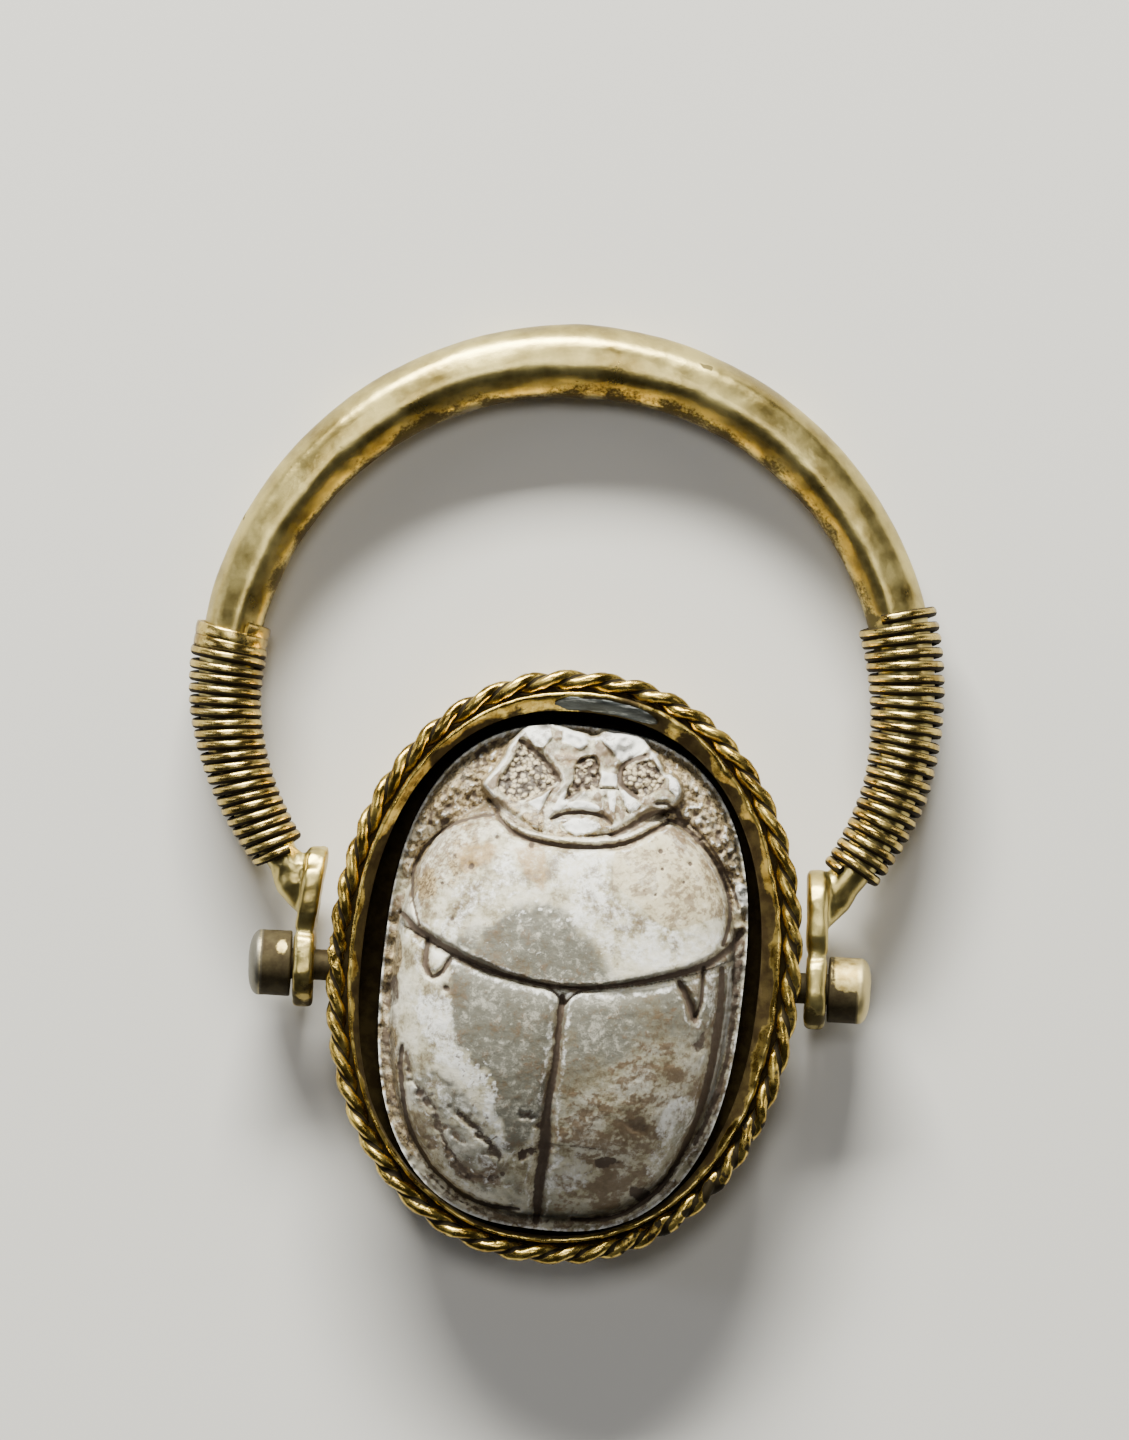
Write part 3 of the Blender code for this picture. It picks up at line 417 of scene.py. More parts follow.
# carved lines on the back, laid out as they look from above: points, half widths along it, depth, soil
carvedLines = dict(
    neck=([(-4.89, 1.21), (-4.69, 1.05), (-4.40, 0.75), (-4.0, 0.56), (-3.38, 0.27), (-2.99, 0.10), (-2.3, -0.13),
           (-1.69, -0.26), (-0.94, -0.38), (-0.19, -0.44), (0.54, -0.40), (1.27, -0.28), (1.85, -0.14), (2.71, 0.11),
           (3.42, 0.38), (3.98, 0.62), (4.39, 0.89), (4.80, 1.27), (5.03, 1.71)],
          (0.10, 0.13, 0.13, 0.095, 0.08, 0.08, 0.09, 0.11, 0.15), 0.26, 0.95),
    suture=([(0.06, -0.70), (0.06, -0.98), (0.05, -1.26), (0.07, -2.0), (0.07, -2.74), (0.02, -3.48), (0.0, -4.23),
             (0.02, -4.96), (0.03, -5.55), (0.0, -6.14), (0.02, -6.73), (0.04, -7.40)],
            (0.13, 0.10, 0.095, 0.10, 0.13, 0.17, 0.17, 0.14, 0.13), 0.26, 1.0),
    shieldLeft=([(-0.40, -0.46), (-0.13, -0.65), (0.07, -0.89)], 0.055, 0.14, 0.75),
    shieldRight=([(0.62, -0.44), (0.35, -0.65), (0.16, -0.92)], 0.055, 0.14, 0.75),
    notchLeftOuter=([(-4.03, 0.51), (-4.06, 0.12), (-4.03, -0.28), (-3.84, -0.55)], 0.095, 0.22, 0.9),
    notchLeftInner=([(-3.34, 0.04), (-3.52, -0.35), (-3.80, -0.57)], 0.090, 0.20, 0.85),
    notchRightInner=([(3.42, 0.10), (3.70, -0.32), (3.92, -0.71), (4.0, -1.0)], 0.105, 0.24, 0.95),
    notchRightOuter=([(4.06, 0.59), (4.11, 0.09), (4.13, -0.42), (4.01, -0.84)], 0.060, 0.20, 0.85),
    sideRight=([(4.61, 0.65), (4.68, 0.01), (4.70, -0.73), (4.67, -1.47), (4.63, -2.22), (4.54, -2.97), (4.40, -3.72),
                (4.19, -4.49), (3.91, -5.26), (3.55, -5.97), (3.09, -6.46), (2.47, -6.90), (1.90, -7.10),
                (1.07, -7.20)], (0.115, 0.13, 0.12, 0.09, 0.075, 0.08), 0.18, 0.98),
    rimRight=([(4.96, 0.63), (5.10, 0.06), (5.13, -0.68), (5.10, -1.42), (5.04, -2.17), (4.91, -3.0), (4.70, -3.76),
               (4.40, -4.60)], 0.090, 0.08, 0.80),
    sideLeft=([(-4.44, -2.66), (-4.44, -3.25), (-4.30, -3.97), (-4.11, -4.69), (-3.77, -5.39), (-3.25, -6.04),
               (-2.68, -6.53), (-2.05, -6.89), (-1.36, -7.06), (-0.51, -7.07)], 0.080, 0.20, 0.95),
    rimLeft=([(-3.30, -6.30), (-2.81, -6.69), (-2.17, -7.06), (-1.48, -7.32)], 0.050, 0.12, 0.6),
    crackLeft=([(-4.32, -2.87), (-4.16, -3.40), (-3.91, -3.82), (-3.58, -4.13), (-3.32, -4.46), (-3.13, -4.88),
                (-2.93, -5.26), (-2.67, -5.60), (-2.41, -5.94), (-2.12, -6.21), (-1.67, -6.25), (-1.20, -6.23)],
               0.100, 0.08, 0.66),
    crackInner=([(-2.61, -4.43), (-2.30, -4.64), (-1.98, -4.91), (-1.72, -5.18), (-1.44, -5.42), (-1.21, -5.62)],
                0.130, 0.10, 0.72),
    crackHook=([(-0.82, -4.32), (-0.49, -4.30), (-0.23, -4.34), (-0.21, -4.66)], 0.060, 0.08, 0.62),
    crackBar=([(-0.71, -5.60), (-0.50, -5.39), (-0.25, -5.29)], 0.085, 0.14, 1.0),
    collarLow=([(-2.46, 4.48), (-2.25, 4.18), (-1.96, 3.94), (-1.57, 3.81), (-1.10, 3.73), (-0.36, 3.70),
                (0.63, 3.78), (1.22, 3.92), (1.73, 4.15), (2.16, 4.45), (2.53, 4.72)], 0.095, 0.24, 0.85),
    collarHigh=([(-2.76, 4.82), (-2.43, 4.56), (-2.03, 4.30), (-1.61, 4.08), (-1.06, 3.99)], 0.060, 0.14, 0.6),
    collarHighRight=([(0.95, 4.15), (1.30, 4.37), (1.55, 4.54), (1.82, 4.77), (2.10, 4.95), (2.40, 5.06)],
                     0.120, 0.24, 0.85),
    shoulderLeft=([(-2.52, 4.39), (-2.95, 4.27), (-3.45, 4.10), (-3.86, 3.85), (-4.26, 3.47), (-4.56, 2.99),
                   (-4.70, 2.49), (-4.68, 1.90), (-4.54, 1.40), (-4.33, 0.91)], 0.060, 0.14, 0.85),
    shoulderLeftInner=([(-3.84, 3.70), (-4.18, 3.40), (-4.43, 2.98), (-4.57, 2.43), (-4.54, 1.77), (-4.36, 1.20)],
                       0.035, 0.06, 0.45),
    shoulderRight=([(2.54, 4.81), (2.92, 4.73), (3.40, 4.41), (3.82, 4.02), (4.16, 3.61), (4.44, 3.09),
                    (4.61, 2.67), (4.69, 2.23), (4.66, 1.78), (4.57, 1.33)], 0.075, 0.14, 0.92),
    shoulderRightOuter=([(2.76, 4.88), (3.22, 4.73), (3.71, 4.34), (4.13, 3.87), (4.49, 3.32), (4.77, 2.83),
                         (4.92, 2.40)], 0.055, 0.10, 0.75),
)

# carved lines of the head
headLines = dict(
    cheekBand=([(-2.04, 6.62), (-1.78, 6.51), (-1.42, 6.27), (-1.16, 6.04), (-0.96, 5.83), (-0.74, 5.60)],
               0.105, 0.22, 0.85),
    eyeBand=([(1.66, 6.61), (1.36, 6.46), (1.10, 6.28), (0.99, 6.03), (1.04, 5.77), (1.29, 5.52), (1.60, 5.34)],
             0.095, 0.20, 0.85),
    browEnd=([(1.82, 6.86), (1.74, 6.68)], 0.10, 0.14, 0.6),
    noseTop=([(-0.20, 6.22), (-0.02, 6.36), (0.22, 6.36), (0.32, 6.10), (0.36, 5.75)], 0.055, 0.10, 0.7),
    noseLow=([(-0.10, 5.38), (-0.33, 5.20), (-0.55, 5.06)], 0.085, 0.10, 0.7),
    noseBase=([(0.40, 5.49), (0.77, 5.54), (1.01, 5.54)], 0.030, 0.10, 0.6),
    ribLine=([(1.01, 5.52), (1.16, 5.27), (1.24, 4.98), (1.39, 4.87)], 0.045, 0.12, 0.62),
    ribInner=([(0.62, 5.30), (0.72, 5.0), (0.66, 4.78)], 0.050, 0.08, 0.5),
    lineLeft=([(-0.73, 5.55), (-0.91, 5.27), (-1.06, 5.01), (-1.12, 4.64), (-0.93, 4.29)], 0.060, 0.10, 0.55),
    mouth=([(-0.85, 4.44), (-0.63, 4.58), (-0.34, 4.68), (0.06, 4.74), (0.39, 4.73), (0.67, 4.66), (0.92, 4.50)],
           0.080, 0.20, 0.85),
    underLens=([(0.22, 4.06), (0.59, 4.13), (0.95, 4.21)], 0.060, 0.10, 0.7),
    lowerRight=([(2.14, 5.24), (2.43, 5.27), (2.64, 5.16)], 0.085, 0.16, 0.75),
    topGap=([(0.04, 7.02), (0.05, 6.78)], 0.075, 0.12, 0.5),
)

headShape = [(-1.95, 7.02), (-1.73, 7.21), (-1.44, 7.34), (-1.21, 7.31), (-1.09, 7.21), (-0.79, 7.18), (-0.48, 7.08),
             (-0.14, 7.05), (0.05, 6.99), (0.24, 7.03), (0.41, 7.18), (0.72, 7.15), (1.24, 7.19), (1.55, 7.11),
             (1.70, 6.96), (1.97, 6.69), (2.17, 6.42), (2.28, 6.16), (2.50, 6.15), (2.76, 5.95), (2.85, 5.69),
             (2.81, 5.45), (2.67, 5.24), (2.42, 5.08), (2.05, 4.80), (1.56, 4.41), (0.93, 4.10), (-0.06, 3.99),
             (-1.06, 3.98), (-1.68, 4.18), (-2.05, 4.43), (-2.41, 4.66), (-2.70, 4.93), (-2.93, 5.17),
             (-2.92, 5.37), (-2.66, 5.73), (-2.44, 6.09), (-2.34, 6.44), (-2.17, 6.72)]
cheekPatch = [(-2.02, 6.57), (-1.67, 6.41), (-1.38, 6.25), (-1.09, 6.01), (-0.77, 5.61), (-0.95, 5.39), (-1.26, 5.16),
              (-1.63, 4.93), (-1.96, 4.86), (-2.35, 5.07), (-2.54, 5.21), (-2.50, 5.45), (-2.27, 5.84), (-2.11, 6.20)]
eyePatch = [(1.07, 6.06), (1.22, 6.27), (1.54, 6.38), (1.83, 6.48), (2.01, 6.36), (2.27, 6.09), (2.30, 5.83),
            (2.09, 5.61), (1.75, 5.42), (1.44, 5.47), (1.18, 5.67)]
nosePatch = [(-0.35, 6.0), (-0.25, 6.24), (-0.06, 6.36), (0.23, 6.40), (0.36, 6.14), (0.43, 5.68), (0.34, 5.46),
             (-0.08, 5.36), (-0.33, 5.20), (-0.51, 5.06), (-0.49, 5.35), (-0.33, 5.66)]
# white broken or rubbed places of the head: corners, lift, fall to the right, fall to the tail
whitePlaces = [
    ([(-1.95, 7.02), (-1.73, 7.21), (-1.44, 7.34), (-1.22, 7.17), (-1.12, 6.84), (-1.34, 6.48), (-1.55, 6.53),
      (-1.77, 6.74)], 0.02, 0.30, -0.25),
    ([(-0.79, 7.15), (-0.48, 7.08), (-0.17, 7.04), (-0.04, 6.77), (-0.22, 6.58), (-0.43, 6.65), (-0.81, 6.75)],
     0.0, 0.25, -0.25),
    ([(0.27, 6.99), (0.51, 7.20), (0.72, 7.15), (1.24, 7.19), (1.56, 7.08), (1.71, 6.90), (1.60, 6.69), (1.33, 6.49),
      (1.01, 6.32), (0.79, 6.53), (0.64, 6.68)], -0.04, -0.22, -0.25),
    ([(-0.53, 4.31), (-0.25, 4.51), (0.14, 4.58), (0.52, 4.49), (0.64, 4.34), (0.39, 4.18), (-0.06, 4.04),
      (-0.34, 4.13)], 0.12, 0.0, 0.0),
    ([(-0.40, 4.96), (-0.21, 5.06), (0.15, 5.08), (0.46, 4.99), (0.56, 4.86), (0.39, 4.78), (-0.02, 4.83),
      (-0.32, 4.83)], 0.06, 0.0, 0.0),
    ([(0.71, 5.45), (0.91, 5.47), (0.96, 5.14), (0.95, 4.84), (0.82, 4.93), (0.75, 5.19)], 0.05, 0.0, 0.0),
    ([(1.06, 5.49), (1.20, 5.54), (1.49, 5.34), (1.71, 5.15), (1.56, 4.98), (1.39, 4.89), (1.22, 5.11)],
     0.07, 0.0, 0.0),
    ([(-1.60, 4.87), (-1.19, 5.10), (-0.98, 5.29), (-1.09, 4.98), (-1.21, 4.68), (-1.48, 4.77)], 0.05, 0.0, 0.0),
    ([(2.44, 6.05), (2.69, 5.94), (2.83, 5.69), (2.74, 5.51), (2.48, 5.68)], 0.10, 0.0, 0.0),
    ([(0.45, 6.02), (0.95, 5.96), (0.92, 5.62), (0.50, 5.62)], 0.02, 0.0, 0.0),
    ([(-0.51, 5.34), (-0.66, 5.16), (-0.85, 4.74), (-0.67, 4.69), (-0.44, 4.98)], 0.03, 0.0, 0.0),
]

# coloured places of the back: layer, strength, softness, corners
backPlaces = [
    ("chalk", 0.62, 0.35, [(-2.4, 3.35), (1.11, 3.75), (1.23, 2.65), (2.52, 1.76), (4.56, 1.99), (4.58, 1.18),
                           (2.69, 0.23), (1.15, 0.79), (0.35, 1.29), (-0.33, 2.1), (-1.97, 2.21)]),
    ("chalk", 0.60, 0.35, [(-3.62, 2.39), (-2.31, 2.62), (-1.83, 2.23), (-2.75, 1.23), (-3.01, 0.32), (-4.03, 0.79),
                           (-3.55, 1.74)]),
    ("chalk", 0.55, 0.25, [(-3.3, 4.0), (-2.6, 4.3), (-2.2, 3.7), (-2.9, 3.35), (-3.5, 3.5)]),
    ("sage", 0.88, 0.62, [(-3.2, 0.70), (-2.57, 0.96), (-1.91, 1.63), (-1.21, 2.0), (-0.31, 1.88), (0.57, 1.32),
                          (1.19, 0.43), (0.9, -0.5), (-0.94, -0.5), (-2.46, 0.01)]),
    ("stain", 0.60, 0.35, [(-4.9, 2.93), (-4.4, 3.7), (-3.43, 4.2), (-3.0, 3.9), (-3.43, 3.3), (-3.64, 2.54),
                           (-3.93, 1.84), (-4.0, 0.9), (-4.7, 1.4)]),
    ("ochre", 0.80, 0.30, [(-3.72, 3.27), (-2.41, 3.49), (-2.49, 2.89), (-3.49, 2.56)]),
    ("ochre", 0.90, 0.20, [(-1.91, 3.62), (-0.96, 3.7), (-0.76, 2.57), (-1.28, 2.59), (-1.79, 3.19)]),
    ("stain", 0.95, 0.16, [(2.47, 4.49), (2.86, 4.61), (3.27, 4.29), (3.15, 3.98), (2.69, 4.15)]),
    ("tan", 0.85, 0.06, [(1.15, 3.95), (1.13, 2.78), (1.27, 2.70), (1.79, 2.34), (2.51, 1.83), (3.2, 1.66),
                         (4.3, 2.1), (4.7, 2.3), (4.4, 3.3), (3.75, 4.1), (2.55, 4.95), (1.7, 4.1)]),
    ("chalk", 0.72, 0.36, [(-4.2, -1.0), (-3.22, -1.11), (-2.72, -2.31), (-2.28, -2.86), (-1.58, -3.81),
                           (-1.19, -4.66), (-0.81, -5.35), (-1.18, -5.4), (-1.71, -4.64), (-2.39, -3.9),
                           (-3.12, -3.32), (-3.94, -2.6), (-4.41, -1.77)]),
    ("sage", 1.0, 0.42, [(-3.3, 0.2), (-1.66, -0.40), (-0.40, -0.55), (-0.06, -1.06), (-0.02, -2.75),
                         (-0.06, -4.02), (-0.81, -5.35), (-1.19, -4.66), (-1.75, -3.68), (-2.72, -2.31),
                         (-3.22, -1.11)]),
    ("sage", 0.50, 0.30, [(-4.28, -2.86), (-3.58, -3.15), (-2.38, -3.98), (-1.25, -5.4), (-0.31, -5.89),
                          (-0.01, -7.19), (-0.93, -6.92), (-2.22, -6.7), (-3.44, -5.73), (-4.19, -4.33)]),
    ("chalk", 0.55, 0.10, [(-4.15, 0.35), (-4.12, -0.5), (-4.4, -0.6), (-4.5, 0.2)]),
    ("chalk", 0.55, 0.10, [(-3.80, 0.15), (-3.50, 0.10), (-3.78, -0.35)]),
    ("chalk", 0.55, 0.10, [(4.2, 0.5), (4.55, 0.5), (4.55, -0.8), (4.25, -0.8)]),
    ("chalk", 0.80, 0.06, [(4.82, 0.6), (4.98, 0.4), (5.0, -1.5), (4.75, -3.2), (4.60, -3.2), (4.82, -1.2)]),
    ("chalk", 0.60, 0.12, [(3.83, -3.27), (4.34, -3.21), (4.47, -3.64), (3.99, -4.66), (3.38, -5.76),
                           (3.11, -5.35), (3.55, -4.04)]),
    ("chalk", 0.50, 0.20, [(0.3, -5.3), (1.35, -5.3), (1.3, -6.4), (0.3, -6.6)]),
    ("grime", 0.85, 0.10, [(2.64, -6.14), (2.88, -5.97), (3.28, -6.22), (3.24, -6.48), (2.87, -6.56)]),
    ("grime", 0.66, 0.08, [(1.47, -5.31), (2.13, -5.24), (2.3, -5.44), (1.74, -5.66)]),
    ("grime", 0.62, 0.08, [(2.25, -4.34), (2.83, -4.2), (3.07, -4.36), (2.49, -4.5)]),
    ("grime", 0.66, 0.08, [(4.03, -1.43), (4.35, -1.36), (4.43, -1.68), (4.18, -1.75)]),
    ("grime", 0.66, 0.06, [(-3.87, -3.91), (-3.57, -3.93), (-3.31, -4.23), (-3.29, -4.53), (-3.59, -4.35)]),
    ("stain", 0.95, 0.08, [(-3.12, -5.25), (-2.77, -5.43), (-1.98, -6.05), (-1.2, -6.1), (-1.25, -6.42),
                           (-1.96, -6.46), (-2.48, -6.30), (-2.87, -5.82)]),
    ("grime", 0.62, 0.06, [(-2.51, -4.4), (-2.17, -4.55), (-1.59, -5.04), (-1.4, -5.42), (-1.87, -5.18),
                           (-2.29, -4.78)]),
    ("speckle", 1.0, 0.06, [(-5.3, -2.0), (-4.72, -2.2), (-4.52, -3.2), (-4.35, -4.2), (-3.9, -5.3), (-4.3, -5.5),
                            (-4.9, -4.2), (-5.3, -3.0)]),
    ("grime", 0.52, 0.06, [(-5.2, -2.3), (-4.80, -2.3), (-4.60, -3.3), (-4.45, -4.2), (-4.0, -5.2), (-4.41, -4.95),
                           (-4.89, -4.04)]),
    ("grime", 0.62, 0.06, [(-5.15, -0.80), (-4.80, -0.66), (-4.70, -1.4), (-5.1, -1.6)]),
    ("speckle", 1.0, 0.06, [(-5.38, 0.27), (-4.94, 0.69), (-4.74, -0.18), (-4.9, -0.7), (-5.38, -0.5)]),
    ("chalk", 0.95, 0.05, [(4.79, 3.24), (5.12, 3.06), (5.17, 2.65), (4.99, 2.52), (4.77, 2.83)]),
    ("grime", 0.66, 0.06, [(4.85, 1.3), (5.09, 1.94), (5.28, 1.41), (5.37, 0.09), (5.10, 0.05), (4.95, 0.62)]),
    ("stain", 0.46, 0.40, [(-4.6, -3.2), (-3.6, -3.8), (-2.6, -4.9), (-1.9, -5.7), (-1.6, -6.6), (-2.8, -6.4),
                           (-3.9, -5.4), (-4.6, -4.2)]),
    ("stain", 0.70, 0.12, [(-1.85, -5.55), (-1.3, -5.75), (-1.0, -6.1), (-1.5, -6.2), (-1.95, -5.85)]),
]
stainedPatch = [(0.3, -4.6), (0.9, -3.4), (2.1, -2.4), (3.0, -1.8), (4.45, -1.6), (4.5, -3.0), (3.9, -3.9),
                (3.75, -5.0), (3.3, -6.2), (2.6, -6.8), (1.0, -6.9), (0.3, -6.4)]
collarPatch = [(-2.7, 4.6), (-1.9, 3.85), (-1.0, 3.62), (0.0, 3.58), (1.2, 3.75), (1.9, 4.1), (2.6, 4.75),
               (2.4, 5.05), (1.9, 4.75), (1.2, 4.25), (0.0, 4.06), (-1.1, 4.06), (-2.0, 4.5), (-2.6, 4.95)]
collarRidge = [(-2.35, 4.52), (-2.02, 4.19), (-1.74, 4.07), (-1.05, 3.91), (-0.05, 3.88), (0.94, 4.02),
               (1.58, 4.25), (2.14, 4.61), (2.55, 4.86)]
gougedPatch = [(-4.2, -3.2), (-3.3, -3.2), (-2.3, -3.9), (-1.6, -4.7), (-0.9, -5.5), (-0.5, -6.1), (-1.2, -6.5),
               (-2.4, -6.5), (-3.3, -5.6), (-4.1, -4.4)]
scuffedPatch = [(-2.9, -2.6), (-2.0, -2.6), (-1.2, -4.6), (-1.5, -5.2), (-2.3, -4.3)]
veinedPatch = [(-2.9, 0.5), (-2.3, 1.9), (-1.2, 2.5), (0.2, 2.1), (1.3, 1.2), (1.8, 0.1), (0.0, -0.5)]
# single pits: place, radius, depth
glazePits = [(-2.37, 3.74, 0.07, 0.10), (2.44, 3.86, 0.09, 0.10), (3.36, 3.60, 0.08, 0.10),
             (2.55, 3.34, 0.06, 0.06), (3.22, 3.04, 0.06, 0.07), (2.43, 2.58, 0.05, 0.05),
             (-3.04, 2.79, 0.11, 0.10), (-3.41, 1.20, 0.07, 0.07), (-3.82, 2.21, 0.06, 0.05),
             (-1.10, -6.10, 0.09, 0.08), (-3.35, -0.85, 0.11, 0.12), (-1.35, 3.62, 0.10, 0.03)]
# bites out of the plate's edge: place, radius
edgeBites = [(-5.12, 0.95, 0.20), (-5.22, 0.25, 0.20), (-5.25, -0.35, 0.17), (-5.18, -1.15, 0.24),
             (-5.30, -1.75, 0.15), (5.20, 2.25, 0.20)]


def scarabRelief(x, y, s):
    spots = np.stack([x, y, np.zeros_like(x)], 1)
    broad = grain(spots, 1.6, 1)
    medium = grain(spots, 0.55, 2)
    small = grain(spots, 0.20, 3)
    tiny = grain(spots, 0.09, 4)
    marks = {k: np.zeros_like(x) for k in ("grime", "stain", "chalk", "speckle", "sage", "tan", "ochre", "granules")}

    def mark(name, amount):
        marks[name] = np.maximum(marks[name], amount)

    length = np.where(y > 0, s["frontLength"], s["tailLength"])
    plateLevel = (np.abs(x) / s["halfWidth"]) ** s["squareness"] + (np.abs(y) / length) ** s["squareness"]
    edge = smooth(plateLevel, 0.93, 1.0)
    height = s["plate"] + (s["margin"] - s["plate"]) * (1 - smooth(plateLevel, 0.9, 1.0))
    legs = smooth(y, 3.2, 4.4) * (1 - smooth(plateLevel, 0.80, 0.99))
    height = height + legs * (s["legZone"] - s["margin"])

    n = s["bodySquareness"]
    bodyLength = np.where(y > 0, s["bodyFront"], s["bodyTail"])
    plain = (np.abs(x) / s["bodyHalfWidth"]) ** n + (np.abs(y) / bodyLength) ** n
    swell = (2.2 + 3.6 * (1 - np.clip(plain, 0, 1)) ** s["domePower"]) / s["seenFrom"]
    # the carving is laid out as it looks from above, and every line wanders a little
    wx = x + (x - s["seenX"]) * swell + 0.016 * grain(spots, 0.45, 5) + 0.008 * grain(spots, 0.15, 6)
    wy = y + (y - s["seenY"]) * swell + 0.016 * grain(spots, 0.45, 7) + 0.008 * grain(spots, 0.15, 8)
    level = (np.abs(wx) / s["bodyHalfWidth"]) ** n + (np.abs(wy) / bodyLength) ** n
    peak = s["bodyPeak"] - 0.022 * (y + 0.5) ** 2 * (y < -0.5) - 0.030 * (y - 1.0) ** 2 * (y > 1.0)
    dome = s["bodyEdge"] + (peak - s["bodyEdge"]) * (1 - np.clip(level, 0, 1)) ** s["domePower"]
    inBody = 1 - smooth(level, 0.985, 1.05)
    height = height + (dome - height) * inBody

    # the pronotum swells over the neck line, the wing cases round off below it
    neckLine = wy - (-0.42 + 0.056 * wx * wx)
    height = height + 0.10 * np.exp(-(np.clip(neckLine, 0, 9) / 0.7) ** 2) * smooth(neckLine, 0.0, 0.22) * inBody
    height = height - 0.14 * np.exp(-(np.clip(-neckLine, 0, 9) / 0.35) ** 2) * (neckLine < 0) * inBody
    leftCase = (wx < 0.04) * smooth(-neckLine, 0.05, 0.2) * inBody
    rightCase = (wx >= 0.04) * smooth(-neckLine, 0.05, 0.2) * inBody
    height = height - 0.10 * np.exp(-(np.abs(wx - 0.04) / 0.34) ** 2) * np.maximum(leftCase, rightCase)

    # head on its own raised ground, rim rounded
    inHead = insideLevel(wx, wy, headShape, 0.10)
    run = np.clip((y - 4.0) / (s["frontLength"] - 4.0), 0, 1)
    head = s["headBack"] + (s["headFront"] - s["headBack"]) * run - 0.10 * x * x / 2.85
    head = head + 0.12 * np.exp(-((x) / 0.8) ** 2) * smooth(y, 4.6, 5.6)
    head = head + 0.06 * medium + 0.05 * small
    height = height + (head - height) * inHead
    beside = (1 - inBody) * (1 - inHead)
    collarBand = insideLevel(wx, wy, collarPatch, 0.08)
    height = height - 0.12 * collarBand
    mark("stain", collarBand * 0.75)
    ridgeGap, _ = pathReach(wx, wy, roundedPath(collarRidge))
    ridge = np.exp(-(ridgeGap / 0.075) ** 2)
    height = height + 0.14 * ridge
    marks["stain"] = marks["stain"] * (1 - ridge)

    # rough granular ground round the head and a low uneven border along the sides
    ground = beside * smooth(y, 1.9, 3.2)
    height = height + ground * (0.12 * medium + 0.11 * small + 0.05 * tiny)
    mark("speckle", ground * (1.05 + 0.3 * medium) * (1 - 0.7 * edge))
    mark("grime", ground * (0.14 - 0.9 * small - 0.5 * medium) * (1 - edge))
    mark("chalk", ground * smooth(small + 0.6 * tiny - 0.2 * medium, 0.34, 0.56) * 0.8)
    low = beside * (1 - smooth(y, 1.9, 3.2))
    height = height + low * (0.07 * medium + 0.06 * small)
    mark("stain", low * smooth(medium + 0.8 * small + 0.45, 0.0, 0.5) * 0.75)
    mark("speckle", low * (x < 0) * smooth(-y, -0.6, 0.4) * (1 - smooth(-y, 5.4, 6.4)) * (0.85 + 0.5 * small)
         * (1 - edge))
    mark("grime", low * (x < 0) * smooth(-y, 1.9, 2.6) * (1 - smooth(-y, 4.8, 5.8)) * (0.36 + 0.6 * small)
         * (1 - edge))
    mark("grime", low * (x > 0) * smooth(y, -0.4, 0.1) * (1 - smooth(y, 1.6, 2.2)) * 0.62)
    mark("chalk", edge * smooth(small + 0.45, 0.0, 0.4) * 0.85)
    mark("grime", np.exp(-((level - 1.05) / 0.03) ** 2) * (1 - inHead) * (0.36 + 0.5 * small) * (y < 4.2))

    cheek = insideLevel(wx, wy, cheekPatch, 0.06, False)
    eye = insideLevel(wx, wy, eyePatch, 0.06)
    nose = insideLevel(wx, wy, nosePatch, 0.05)
    for patch, depth in ((cheek, 0.10), (eye, 0.16), (nose, 0.13)):
        height = height - patch * (depth + 0.10 * small + 0.07 * tiny)
        mark("granules", patch)
    mark("grime", nose * (0.52 + 0.7 * small) + eye * (0.22 + 0.6 * small) + cheek * (0.10 + 0.5 * small))
    height = height + eye * 0.10 * np.exp(-((wx - 1.75) ** 2 + (wy - 5.95) ** 2) / 0.30 ** 2)

    # the head is cream, browned in its hollows and broken white at the front
    mark("stain", inHead * (1 - cheek) * (0.42 + 0.70 * smooth(medium + 0.9 * small + 0.12, 0.0, 0.45)))
    mark("speckle", inHead * smooth(4.75 - wy, 0.0, 0.3) * smooth(small + 0.4 * medium + 0.2, 0.0, 0.3) * 0.85)
    mark("sage", inHead * smooth(-medium, 0.0, 0.3) * 0.5)
    mark("ochre", inHead * np.exp(-((x + 0.55) / 0.55) ** 2 - ((y - 6.30) / 0.40) ** 2) * 0.7)
    for corners, lift, acrossFall, alongFall in whitePlaces:
        place = insideLevel(wx, wy, corners, 0.045, False)
        middle = np.mean(np.array(corners), 0)
        facet = lift + acrossFall * (wx - middle[0]) + alongFall * (wy - middle[1])
        height = height + place * (facet + (0.16 * medium + 0.07 * small) * (abs(alongFall) > 0))
        for name in ("stain", "grime", "ochre", "sage"):
            marks[name] = marks[name] * (1 - place)
        mark("chalk", place * 1.35)
    rimLight = inHead * (1 - smooth(np.abs(insideLevel(wx, wy, headShape, 0.30) - 0.66), 0.05, 0.24)) * (wy > 4.9)
    marks["stain"] = marks["stain"] * (1 - 0.8 * rimLight)
    mark("chalk", rimLight * 0.8)

